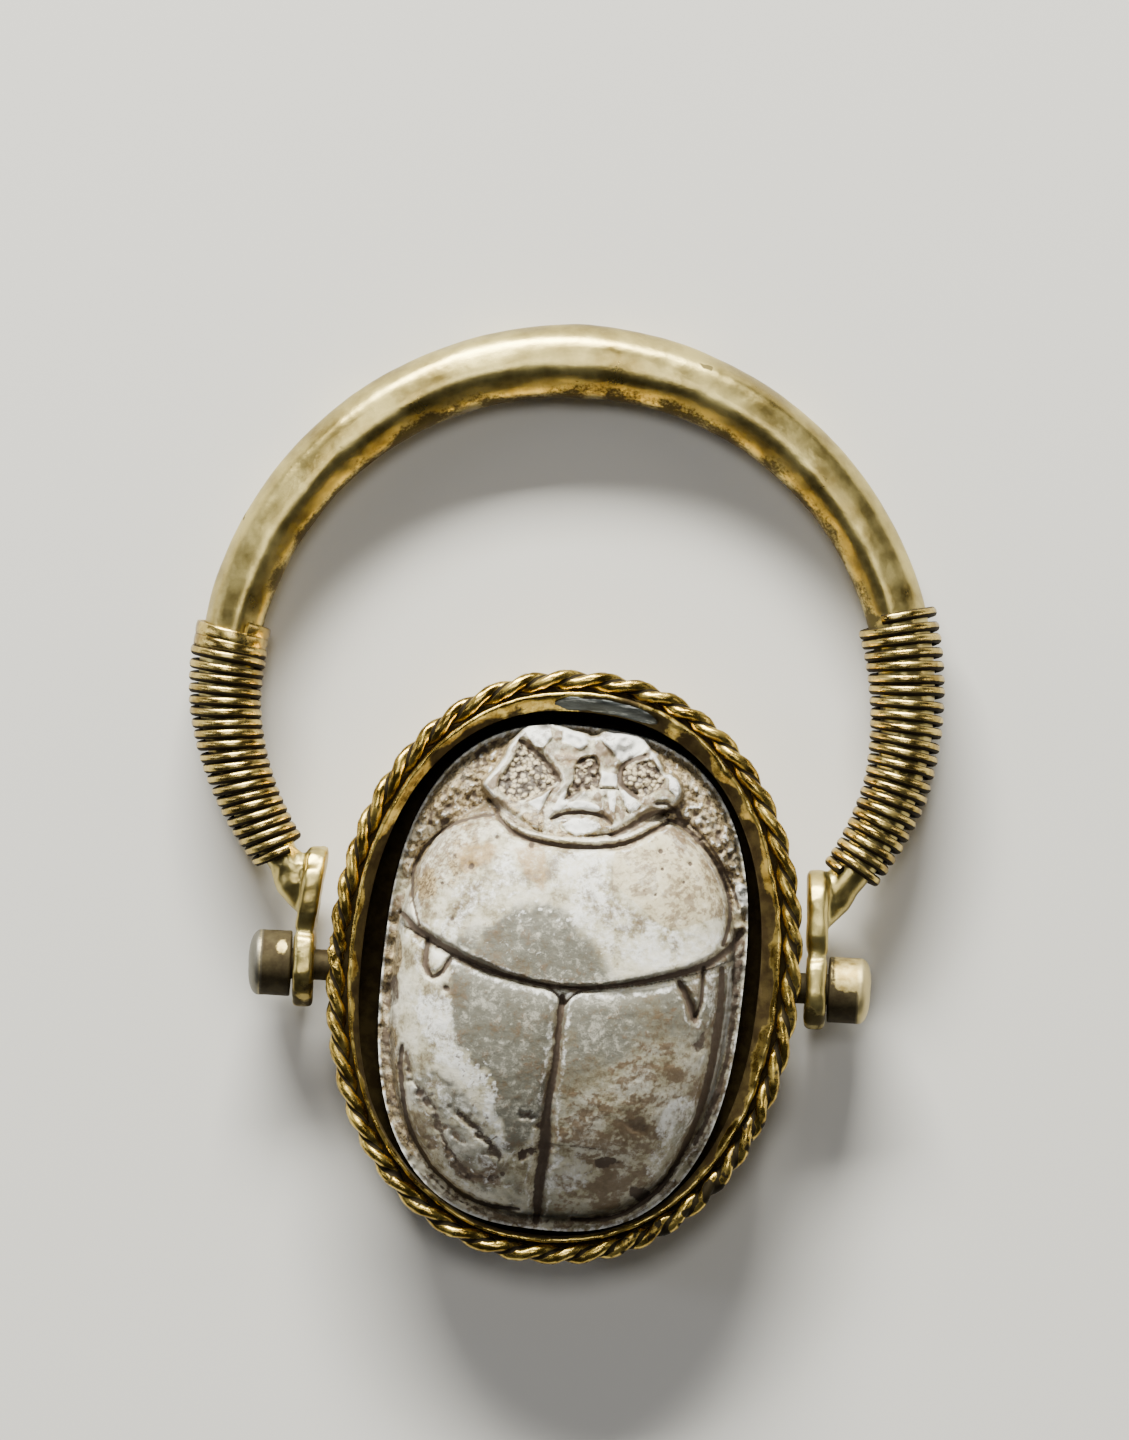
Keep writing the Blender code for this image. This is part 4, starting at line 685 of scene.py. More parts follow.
    # coloured places of the back, each broken up at its edge
    bx = wx + 0.30 * broad + 0.22 * medium + 0.08 * small
    by = wy + 0.30 * grain(spots, 1.4, 10) + 0.20 * grain(spots, 0.5, 11) + 0.07 * tiny
    for name, strength, soft, corners in backPlaces:
        px, py = (wx, wy) if soft < 0.08 else (bx, by)
        place = insideLevel(px, py, corners, soft)
        if name in ("tan", "ochre"):
            marks["chalk"] = marks["chalk"] * (1 - 0.9 * place)
        mark(name, place * strength * (1.0 + 0.35 * medium + 0.25 * small))
        if name == "grime":
            height = height - place * 0.05
    brown = inBody * smooth(level + 0.20 * medium, 0.46, 0.88) * smooth(-wx, 1.0, 2.2) * smooth(wy, 0.7, 2.0)
    mark("speckle", brown * (0.56 + 0.9 * medium + 0.4 * small))
    mark("stain", brown * (0.70 + 0.6 * small))
    marks["chalk"] = marks["chalk"] * (1 - 0.7 * brown)
    # the last of the pronotum above the neck is darkened with soil and painted shade, and the wing cases get painted
    # highlights along their rounded upper edges and beside the suture
    shadeAndSoilOverNeck = inBody * np.exp(-(np.clip(neckLine, 0, 9) / 0.34) ** 2) * (neckLine > -0.02)
    mark("sage", shadeAndSoilOverNeck * 0.95)
    mark("stain", shadeAndSoilOverNeck * (0.55 + 0.4 * small))
    marks["chalk"] = marks["chalk"] * (1 - 0.8 * shadeAndSoilOverNeck)
    cases = np.maximum(leftCase, rightCase)
    shoulder = np.exp(-((neckLine + 0.24) / 0.14) ** 2) + 0.8 * np.exp(-((np.abs(wx - 0.04) - 0.27) / 0.12) ** 2)
    mark("chalk", cases * np.clip(shoulder, 0, 1) * (0.62 + 0.5 * small) * smooth(wy, -6.5, -3.0))

    # worn and cracked glaze on the left wing case
    slanted = np.stack([x * 0.82 + y * 0.57, (y * 0.82 - x * 0.57) * 0.42, 0 * x], 1)
    scored = grain(slanted, 0.38, 9) + 0.5 * small
    deep = insideLevel(x + 0.22 * medium, y + 0.18 * small, gougedPatch, 0.12)
    gouges = smooth(scored, 0.20, 0.45) * deep
    height = height - deep * (0.03 + 0.04 * medium) - gouges * 0.06
    mark("stain", gouges * 0.85)
    mark("chalk", deep * smooth(-scored, 0.10, 0.40) * 0.55)
    scuffed = insideLevel(bx, by, scuffedPatch, 0.15)
    mark("grime", scuffed * smooth(tiny + small, 0.25, 0.5) * 0.60)
    mark("chalk", scuffed * smooth(small - 0.4 * tiny, 0.0, 0.3) * 0.9)

    # veins and flecks in the grey glaze of the pronotum
    grey = insideLevel(wx, wy, veinedPatch, 0.45)
    vein = 1 - smooth(np.abs(medium * 0.8 + small * 0.6), 0.0, 0.06)
    mark("chalk", vein * grey * 0.62)
    mark("chalk", grey * smooth(small + 0.5 * medium, 0.12, 0.36) * smooth(wy, 0.9, 1.8) * 0.85)

    # brown soil baked into the right wing case, thicker towards the tail
    stained = insideLevel(wx, wy, stainedPatch, 0.7)
    flat = np.stack([x * 0.75, y * 1.35, 0 * x], 1)
    cloudy = grain(flat, 0.60, 12) + 0.7 * grain(flat, 0.24, 13) + 0.5 * tiny
    soil = smooth(cloudy + 0.60 * stained - 0.40, 0.0, 0.55)
    mark("stain", rightCase * (0.16 + 0.26 * stained + 0.62 * soil))
    mark("grime", rightCase * smooth(cloudy + 0.40 * stained - 0.66, 0.05, 0.4) * 0.34)
    mark("sage", rightCase * (0.66 - 0.30 * stained))
    mark("tan", rightCase * (0.15 + 0.20 * stained))
    mark("stain", leftCase * (0.20 + 0.35 * medium + 0.25 * small))
    step = rightCase * smooth(-(wy + 5.02 + 0.03 * small), 0.0, 0.07) * (1 - smooth(wx, 1.7, 2.6))
    height = height - step * (0.045 + 0.03 * small)
    stepLine = np.exp(-((wy + 5.05) / 0.05) ** 2) * rightCase * (1 - smooth(wx, 1.5, 2.2))
    mark("grime", stepLine * 0.62)

    # a brown cast gathers along the sides and in clouds over all the glaze
    mark("stain", inBody * smooth(level, 0.78, 0.99) * smooth(medium + small * 0.8, -0.3, 0.35) * 0.62
         * (1 - rightCase))
    mark("stain", inBody * smooth(medium + 0.7 * small + 0.5 * tiny, 0.15, 0.60) * 0.45)

    for px, py, wide, deepness in glazePits:
        pit = np.exp(-((wx - px) ** 2 + (wy - py) ** 2) / wide ** 2)
        height = height - pit * deepness
        mark("grime", pit * 1.1)

    # all the carved lines: soft sided grooves with a rubbed lip, each a little uneven along its run
    for group in (carvedLines, headLines):
        for name, (corners, wide, deepness, soil) in group.items():
            torn = name.startswith("crack")
            gap, share = pathReach(wx + 0.12 * small * torn, wy + 0.12 * tiny * torn, roundedPath(corners))
            ends = smooth(share, -0.02, 0.10) * (1 - smooth(share, 0.90, 1.02))
            wide = np.atleast_1d(wide)
            wide = np.interp(share, np.linspace(0, 1, len(wide)), wide)
            uneven = 1 + (0.20 + 0.9 * torn) * small + (0.25 + 0.7 * torn) * medium
            here = wide * (0.70 + 0.35 * ends) * np.clip(uneven, 0.35, 2.0)
            height = height - np.exp(-(gap / (here * 1.15)) ** 2.4) * deepness * (0.8 + 0.2 * ends)
            mark("grime", np.exp(-(gap / here) ** 3) * soil)
            mark("stain", np.exp(-(gap / (here * 1.9)) ** 2) * 0.70 * soil * (1 + 0.9 * small))
            lip = np.exp(-((gap - here * 2.1) / (wide * 0.7)) ** 2) * 0.55
            mark("chalk", lip * (1 - marks["grime"]))

    # small bites are broken out of the plate edge
    for px, py, wide in edgeBites:
        bite = np.exp(-((wx - px) ** 2 + (wy - py) ** 2) / wide ** 2)
        height = height - 0.28 * bite
        mark("speckle", bite)
    marks["grime"] = marks["grime"] * (1 - 0.8 * edge)
    height = height + inBody * (0.012 * medium + 0.009 * small)
    height = np.clip(height, s["plate"] * 0.90, s["bodyPeak"] - 0.02)
    return height, marks


def scarabPiece(s):
    bpy.ops.mesh.primitive_grid_add(x_subdivisions=s["cellsAcross"], y_subdivisions=s["cellsAlong"], size=2)
    piece = bpy.context.active_object
    u, v = readRaw(piece)[:, :2].T
    across = u * np.sqrt(1 - 0.5 * v * v)
    along = v * np.sqrt(1 - 0.5 * u * u)
    direction = np.arctan2(along * s["tailLength"], across * s["halfWidth"])
    length = np.where(np.sin(direction) > 0, s["frontLength"], s["tailLength"])
    reach = np.hypot(across, along) * superReach(direction, s["halfWidth"], length, s["squareness"])
    x, y = reach * np.cos(direction), reach * np.sin(direction)
    height, marks = scarabRelief(x, y, s)
    rowX, rowY = turned(x, y, s["lean"], 0.0, s["centreY"])
    writePoints(piece, np.stack([rowX, rowY, height], 1))
    for name, values in marks.items():
        paint(piece, name, values)

    # side of the base plate, with one cut line round it, then the flat underside
    bpy.ops.object.mode_set(mode="EDIT")
    bpy.ops.mesh.select_mode(type="EDGE")
    bpy.ops.mesh.select_all(action="DESELECT")
    bpy.ops.mesh.select_non_manifold()
    for drop, pull in ((0.10, 1.0), (0.30, 1.0), (0.05, 0.992), (0.08, 1.0), (0.05, 1.008), (0.40, 1.0)):
        bpy.ops.mesh.extrude_region_move(TRANSFORM_OT_translate={"value": (0, 0, -drop * mm)})
        if pull != 1.0:
            bpy.ops.transform.resize(value=(pull, pull, 1.0))
    bpy.ops.mesh.extrude_region_move(TRANSFORM_OT_translate={"value": (0, 0, -0.10 * mm)})
    bpy.ops.mesh.edge_face_add()
    bpy.ops.object.mode_set(mode="OBJECT")
    points = readPoints(piece)
    points[-2 * (s["cellsAcross"] + s["cellsAlong"]):, 2] = 0.0
    writePoints(piece, points)
    outwards(piece)
    finishPiece(piece, "scarabCarved", "bezel", steatite, ("scarab",), 60)
    return piece


scarabPiece(scarabSize)
print("scarab carved")


# bezel, twisted border and grey lump

bezelSize = dict(
    halfWidth=6.95, halfLength=8.70, centreX=0.02, centreY=0.31, lean=2.9, squareness=2.14,
    height=3.50, wall=0.40, foot=0.28, footHeight=0.42, seat=2.76, crest=0.68, crestWidth=0.10,
    stripDrop=0.36, stripThickness=0.24, undercut=0.12, rim=0.46,
    openHalfWidth=5.80, openHalfLength=7.64, openX=-0.09, openY=0.12, openLean=3.3, openSquareness=2.3,
    stations=420,
)


def bezelEdge(angle, b):
    c, s = np.cos(angle), np.sin(angle)
    x = b["halfWidth"] * np.sign(c) * np.abs(c) ** (2 / b["squareness"])
    y = b["halfLength"] * np.sign(s) * np.abs(s) ** (2 / b["squareness"])
    return turned(x, y, b["lean"], b["centreX"], b["centreY"])


def evenEdge(b, count):
    fine = np.linspace(0, 2 * math.pi, 7201)
    x, y = bezelEdge(fine, b)
    along = np.concatenate([[0], np.cumsum(np.hypot(np.diff(x), np.diff(y)))])
    wanted = np.linspace(0, along[-1], count, endpoint=False)
    ex, ey = np.interp(wanted, along, x), np.interp(wanted, along, y)
    ahead = (wanted + 0.05) % along[-1]
    behind = (wanted - 0.05) % along[-1]
    tx = np.interp(ahead, along, x) - np.interp(behind, along, x)
    ty = np.interp(ahead, along, y) - np.interp(behind, along, y)
    size = np.hypot(tx, ty)
    return ex, ey, ty / size, -tx / size, along[-1]


def colletPiece(b, s):
    count = b["stations"]
    ex, ey, nx, ny, _ = evenEdge(b, count)
    crestX, crestY = ex - nx * (b["crest"] + b["crestWidth"]), ey - ny * (b["crest"] + b["crestWidth"])
    direction = np.arctan2(crestY - b["openY"], crestX - b["openX"])
    reach = superReach(direction + math.radians(b["openLean"]), b["openHalfWidth"], b["openHalfLength"],
                       b["openSquareness"])
    crestReach = np.hypot(crestX - b["openX"], crestY - b["openY"])
    reach = np.minimum(reach, crestReach - 0.06)
    lipX, lipY = b["openX"] + reach * np.cos(direction), b["openY"] + reach * np.sin(direction)
    towards = np.arctan2(lipY - s["centreY"], lipX) + math.radians(s["lean"])
    length = np.where(np.sin(towards) > 0, s["frontLength"], s["tailLength"])
    rimReach = superReach(towards, s["halfWidth"], length, s["squareness"]) + 0.05
    rimX, rimY = turned(rimReach * np.cos(towards), rimReach * np.sin(towards), s["lean"], 0.0, s["centreY"])
    inX, inY = -np.cos(direction), -np.sin(direction)
    wallX, wallY = lipX - inX * b["undercut"], lipY - inY * b["undercut"]
    tight = np.hypot(rimX - ex, rimY - ey) < np.hypot(wallX - ex, wallY - ey)
    wallX = np.where(tight, rimX - inX * 0.02, wallX)
    wallY = np.where(tight, rimY - inY * 0.02, wallY)
    low = b["height"] - b["stripDrop"]

    def inset(distance, z):
        return np.stack([ex - nx * distance, ey - ny * distance, np.full(count, z)], 1)

    def at(px, py, z):
        return np.stack([px, py, np.full(count, z)], 1)

    corners = [inset(b["foot"], 0.0), inset(b["foot"], b["footHeight"] - 0.08), inset(b["wall"], b["footHeight"]),
               inset(b["wall"], b["seat"]), inset(b["crest"], b["seat"] + 0.02),
               inset(b["crest"], b["height"] - 0.03), at(crestX, crestY, b["height"]), at(lipX, lipY, low),
               at(lipX, lipY, low - b["stripThickness"]),
               at(wallX, wallY, low - b["stripThickness"] - 0.08), at(wallX, wallY, b["rim"]),
               at(rimX, rimY, b["rim"] - 0.06), at(rimX, rimY, 0.0)]
    # each corner is rounded by two points, and the slope gets points of its own
    section = []
    for k, corner in enumerate(corners):
        last, following = corners[k - 1], corners[(k + 1) % len(corners)]
        for other in (last, following):
            gap = other - corner
            size = np.linalg.norm(gap, axis=1)[:, None]
            section.append(corner + gap / size * np.minimum(0.035, size * 0.3))
            if k == 6 and other is following or k == 7 and other is last:
                share = 0.3 if k == 6 else 0.7
                section.append(corners[6] + (corners[7] - corners[6]) * share)
    piece, k, kinds = closedSkin(count, len(section))
    points = np.stack(section, 1)[k, kinds]
    x, y, z = points[:, 0], points[:, 1], points[:, 2]
    # the sheet is crumpled along its crest, more on the right where it is rubbed bright
    coarse = grain(points, 0.9, 21)
    fine = grain(points, 0.28, 22)
    crumple = 0.55 + 0.45 * smooth(x, 1.0, 4.0) * smooth(y, -6.0, -2.0)
    onTop = smooth(z, low - 0.05, low + 0.1)
    away = np.stack([x - b["openX"], y - b["openY"]], 1)
    away /= np.linalg.norm(away, axis=1)[:, None]
    alongRun = np.stack([np.arctan2(x, y) * 2.2, np.hypot(x / 6.2, y / 8.0) * 9.0, 0 * x], 1)
    folds = grain(alongRun, 0.55, 24)
    shove = onTop * crumple * (0.05 * coarse + 0.035 * fine)
    x = x + away[:, 0] * shove
    y = y + away[:, 1] * shove
    z = z - onTop * crumple * (0.05 * (coarse + 0.6) + 0.04 * (fine + 0.6) + 0.07 * (folds + 0.6))
    points = np.stack([x, y, np.clip(z, 0.0, b["height"])], 1)
    writePoints(piece, points)
    slope = ((kinds >= 13) & (kinds <= 18)).astype(float)
    down = np.clip((b["height"] - points[:, 2]) / b["stripDrop"], 0, 1)
    brownSide = (0.34 * smooth(-y, -1.0, 4.0) + 0.30 * np.exp(-((y - 1.0) / 2.5) ** 2) * (x < 0)
                 + 0.20 * smooth(x, 3.0, 5.0))
    # the sheet is darker down the slope towards the lip; the wall and underside below the strip and the seat under
    # the twisted border are painted with shade
    soil = slope * (0.66 * smooth(down, 0.35, 0.85) + 0.9 * coarse + 0.6 * folds + brownSide)
    soil = soil + (kinds > 18) * 0.8 + (kinds < 10) * (kinds > 6) * 0.9
    head = np.exp(-((x - 1.6) / 1.0) ** 2) * smooth(y, 7.0, 7.6)
    paint(piece, "grime", soil + 0.5 * head * onTop + 0.12)
    outwards(piece, 0.0002)
    finishPiece(piece, "colletSheet", "bezel", bezelGold, ("bezel",), 50)
    return lipX, lipY, crestX, crestY, ex, ey


colletPlan = colletPiece(bezelSize, scarabSize)
print("collet shaped")

borderSize = dict(radius=0.315, core=0.15, ridges=47, stationsPerRidge=16, sides=24, joinAngle=181.0,
                  seatGap=0.05, room=0.33)


def borderPiece(r, b):
    count = r["ridges"] * r["stationsPerRidge"]
    ex, ey, nx, ny, length = evenEdge(b, count)
    startX, startY = bezelEdge(np.array([math.radians(r["joinAngle"])]), b)
    home = int(np.argmin(np.hypot(ex - startX, ey - startY)))
    order = (np.arange(count) + home) % count
    ex, ey, nx, ny = ex[order], ey[order], nx[order], ny[order]
    piece, k, i = closedSkin(count, r["sides"])
    middle = np.stack([ex, ey, np.zeros(count)], 1)
    sway = grain(middle, 1.3, 31)
    pace = np.cumsum(1 + 0.22 * grain(middle, 2.4, 32))
    pace = pace / pace[-1] * count
    spin = math.pi * pace / r["stationsPerRidge"]
    section = 2 * math.pi * i / r["sides"]
    turn = section - spin[k]
    ridge = np.abs(np.cos(turn)) ** 1.5
    split = np.exp(-(((turn + math.pi / 2) % math.pi - math.pi / 2) / 0.16) ** 2)
    reach = r["core"] + (r["radius"] - r["core"]) * ridge - 0.035 * split
    # the two ends meet raggedly at the left pin
    toJoin = np.minimum(k, count - k) * length / count
    ragged = np.exp(-(toJoin / 0.75) ** 2)
    outward = reach * np.cos(section)
    upward = reach * np.sin(section)
    seat = b["seat"] + r["seatGap"] + r["room"]

    def around(out, up):
        return np.stack([ex[k] - nx[k] * r["room"] + nx[k] * out, ey[k] - ny[k] * r["room"] + ny[k] * out,
                         seat + up], 1)

    points = around(outward, upward)
    rough = grain(points, 0.30, 33)
    rougher = grain(points, 0.14, 34)
    shrink = 1 - 0.05 * np.clip(rough + 0.5, 0, 1) - ragged * (0.10 + 0.45 * np.clip(rough, 0, 1) + 0.3 * rougher)
    worn = 1 - 0.10 * np.clip(sway[k], 0, 1)
    writePoints(piece, around(outward * shrink, upward * shrink * worn))
    # hollows are darkened partly with soil and partly with painted shade, the ragged join is darker, and the
    # underside of the wire is painted with shade
    soil = 1 - smooth(ridge, 0.06, 0.42) + 0.5 * ragged
    shadeUnder = smooth(-upward, 0.05, 0.3)
    # hollows are darker on the right and at the tail, partly with soil and partly with painted shade
    soilAndShadeRightTail = 0.42 * smooth(ex[k], 1.0, 5.0) * smooth(-ey[k], -6.0, 0.0) + 0.38 * smooth(-ey[k], 3.0, 7.0)
    paint(piece, "grime", 0.85 * soil + 0.4 * shadeUnder + soilAndShadeRightTail * (0.6 + 1.6 * rough) + 0.25 * rougher)
    outwards(piece, 0.0002)
    finishPiece(piece, "twistedBorder", "bezel", ropeGold, ("rope_border",))
    return piece


borderPiece(borderSize, bezelSize)
print("twisted border laid")

lumpSize = dict(cellsAlong=60, cellsAcross=12, fromDeg=72.0, toDeg=99.0, rise=0.15)


def lumpPiece(g, b, plan):
    bpy.ops.mesh.primitive_grid_add(x_subdivisions=g["cellsAlong"], y_subdivisions=g["cellsAcross"], size=2)
    piece = bpy.context.active_object
    bpy.ops.object.mode_set(mode="EDIT")
    bpy.ops.mesh.select_all(action="SELECT")
    bpy.ops.mesh.extrude_region_move(TRANSFORM_OT_translate={"value": (0, 0, -1)})
    bpy.ops.object.mode_set(mode="OBJECT")
    flat = readRaw(piece)
    lipX, lipY, crestX, crestY, ex, ey = plan
    share = (flat[:, 0] + 1) / 2
    across = (flat[:, 1] + 1) / 2
    along = np.stack([share * 4.0, 0 * share, 0 * share], 1)
    taper = np.clip(np.sin(math.pi * np.clip(share, 0.012, 0.988)) * 2.6, 0, 1) ** 0.6
    across = 0.5 + (across - 0.5) * taper * (0.92 + 0.25 * grain(along, 0.5, 42)) + 0.05 * grain(along, 0.35, 43)
    across = np.clip(across, 0.0, 1.0)
    top = flat[:, 2] > -0.5
    start = np.array(bezelEdge(math.radians(g["fromDeg"]), b))
    stop = np.array(bezelEdge(math.radians(g["toDeg"]), b))
    first = float(np.argmin(np.hypot(ex - start[0], ey - start[1])))
    last = float(np.argmin(np.hypot(ex - stop[0], ey - stop[1])))
    index = first + (last - first) * share
    spot = np.arange(len(lipX))
    lx, ly = np.interp(index, spot, lipX), np.interp(index, spot, lipY)
    cx, cy = np.interp(index, spot, crestX), np.interp(index, spot, crestY)
    x = lx + (cx - lx) * (0.04 + 0.86 * across)
    y = ly + (cy - ly) * (0.04 + 0.86 * across)
    low = b["height"] - b["stripDrop"]
    surface = low + b["stripDrop"] * (0.04 + 0.86 * across)
    body = (np.sin(math.pi * np.clip(share, 0, 1)) ** 0.35) * (np.sin(math.pi * np.clip(across, 0, 1)) ** 0.5)
    points = np.stack([x, y, surface], 1)
    lumpy = grain(points, 0.5, 41)
    z = surface + np.where(top, 0.02 + g["rise"] * body * (0.75 + 0.4 * lumpy), -0.03)
    writePoints(piece, np.stack([x, y, z], 1))
    outwards(piece)
    finishPiece(piece, "greyLumpOnStrip", "bezel", greyMetal, ("grey_patch",), 60)
    return piece


lumpPiece(lumpSize, bezelSize, colletPlan)
print("grey lump laid")


# hoop, windings and pins

hoopSize = dict(
    centreX=-0.30, centreY=8.02, radius=9.98, top=1.12, shoulder=0.92, neck=0.53,
    shoulderDeg=70.0, neckDeg=121.3, flatness=0.97, pinHeight=1.8,
    tuckLeft=(0.505, 93.0, 120.0), tuckRight=(0.22, 101.0, 116.0), leanLeft=0.28, leanRight=0.10,
    eyeThickness=0.64, eyeLeft=-7.26, eyeRight=7.06, eyeShiftLeft=-0.08, eyeShiftRight=-0.02,
    eyeRadius=1.20, shoulderRadius=1.16, spacing=2.34, waist=0.94, eyeBevel=0.25, pinHole=0.49, voxel=0.0651,
)
hoopDrop = (hoopSize["pinHeight"] - hoopSize["top"] * hoopSize["flatness"]) / (hoopSize["centreY"]
                                                                             + hoopSize["radius"])


def barHalf(deg, h):
    deg = np.asarray(deg, float)
    upper = h["top"] + (h["shoulder"] - h["top"]) * np.clip(deg / h["shoulderDeg"], 0, 1) ** 0.8
    share = np.clip((deg - h["shoulderDeg"]) / (h["neckDeg"] - h["shoulderDeg"]), 0, 1.2)
    lower = h["shoulder"] + (h["neck"] - h["shoulder"]) * share ** 1.25
    return np.where(deg < h["shoulderDeg"], upper, lower)


def barHeight(y, h):
    return h["pinHeight"] - hoopDrop * y


def barRadius(side, deg, h):
    # the shoulders bend in to the eyes, more so on the left
    most, start, stop = h["tuckLeft"] if side < 0 else h["tuckRight"]
    return h["radius"] - most * np.clip((np.asarray(deg, float) - start) / (stop - start), 0, 2) ** 1.2


def barPlace(side, deg, h):
    angle = np.radians(deg)
    reach = barRadius(side, deg, h)
    return h["centreX"] + reach * side * np.sin(angle), h["centreY"] + reach * np.cos(angle)


def curveTube(name, points, radii, sides):
    bpy.ops.curve.primitive_bezier_curve_add()
    piece = bpy.context.active_object
    piece.name = name
    curve = piece.data
    curve.splines.clear()
    curve.dimensions = "3D"
    spline = curve.splines.new("POLY")
    spline.points.add(len(points) - 1)
    flat = np.ones((len(points), 4))
    flat[:, :3] = np.asarray(points) * mm
    spline.points.foreach_set("co", flat.ravel())
    spline.points.foreach_set("radius", np.asarray(radii, float))
    curve.bevel_depth = mm
    curve.bevel_resolution = max(0, sides // 2 - 2)
    curve.use_fill_caps = True
    bpy.ops.object.convert(target="MESH")
    return bpy.context.active_object


def eyePlate(side, h):
    inner = h["eyeLeft"] if side < 0 else h["eyeRight"]
    shift = h["eyeShiftLeft"] if side < 0 else h["eyeShiftRight"]
    bpy.ops.mesh.primitive_cylinder_add(vertices=72, radius=1, depth=1, rotation=(0, math.pi / 2, 0))
    piece = bpy.context.active_object
    placeFlat(piece)
    upper = h["spacing"] - shift
    flat = readRaw(piece)
    angle = np.arctan2(flat[:, 1], flat[:, 2])
    s, c = np.sin(angle), np.cos(angle)
    high = s >= 0
    y = np.where(high, upper + h["shoulderRadius"] * s, h["eyeRadius"] * s)
    z = np.where(high, h["shoulderRadius"] * c, h["eyeRadius"] * c)
    x = inner + side * h["eyeThickness"] * np.where(flat[:, 0] * side > 0, 1.0, 0.0)
    writePoints(piece, np.stack([x, y + shift, z], 1))
    bpy.ops.object.mode_set(mode="EDIT")
    for cut in (0.0, 0.15, 0.25, 0.35, 0.42, 0.47, 0.52, 0.59, 0.66, 0.8, 1.0, 1.2):
        bpy.ops.mesh.select_all(action="SELECT")
        bpy.ops.mesh.bisect(plane_co=(0, (shift + upper * cut) * mm, 0), plane_no=(0, 1, 0))
    bpy.ops.object.mode_set(mode="OBJECT")
    points = readPoints(piece)
    toWaist = np.exp(-((points[:, 1] - shift - upper * 0.47) / 0.32) ** 2)
    points[:, 2] *= 1 - toWaist * (1 - h["waist"] / 1.19)
    writePoints(piece, points)
    outwards(piece)
    applied(piece, "BEVEL", width=h["eyeBevel"] * mm, segments=4, limit_method="ANGLE", angle_limit=math.radians(50))
    points = readPoints(piece)
    lean = h["leanLeft"] if side < 0 else h["leanRight"]
    rise = np.clip(points[:, 1] - h["eyeRadius"], 0, 9) / (h["spacing"] + h["shoulderRadius"] - h["eyeRadius"])
    points[:, 0] -= side * lean * rise
    points[:, 2] += h["pinHeight"] - hoopDrop * points[:, 1]
    writePoints(piece, points)
    return piece


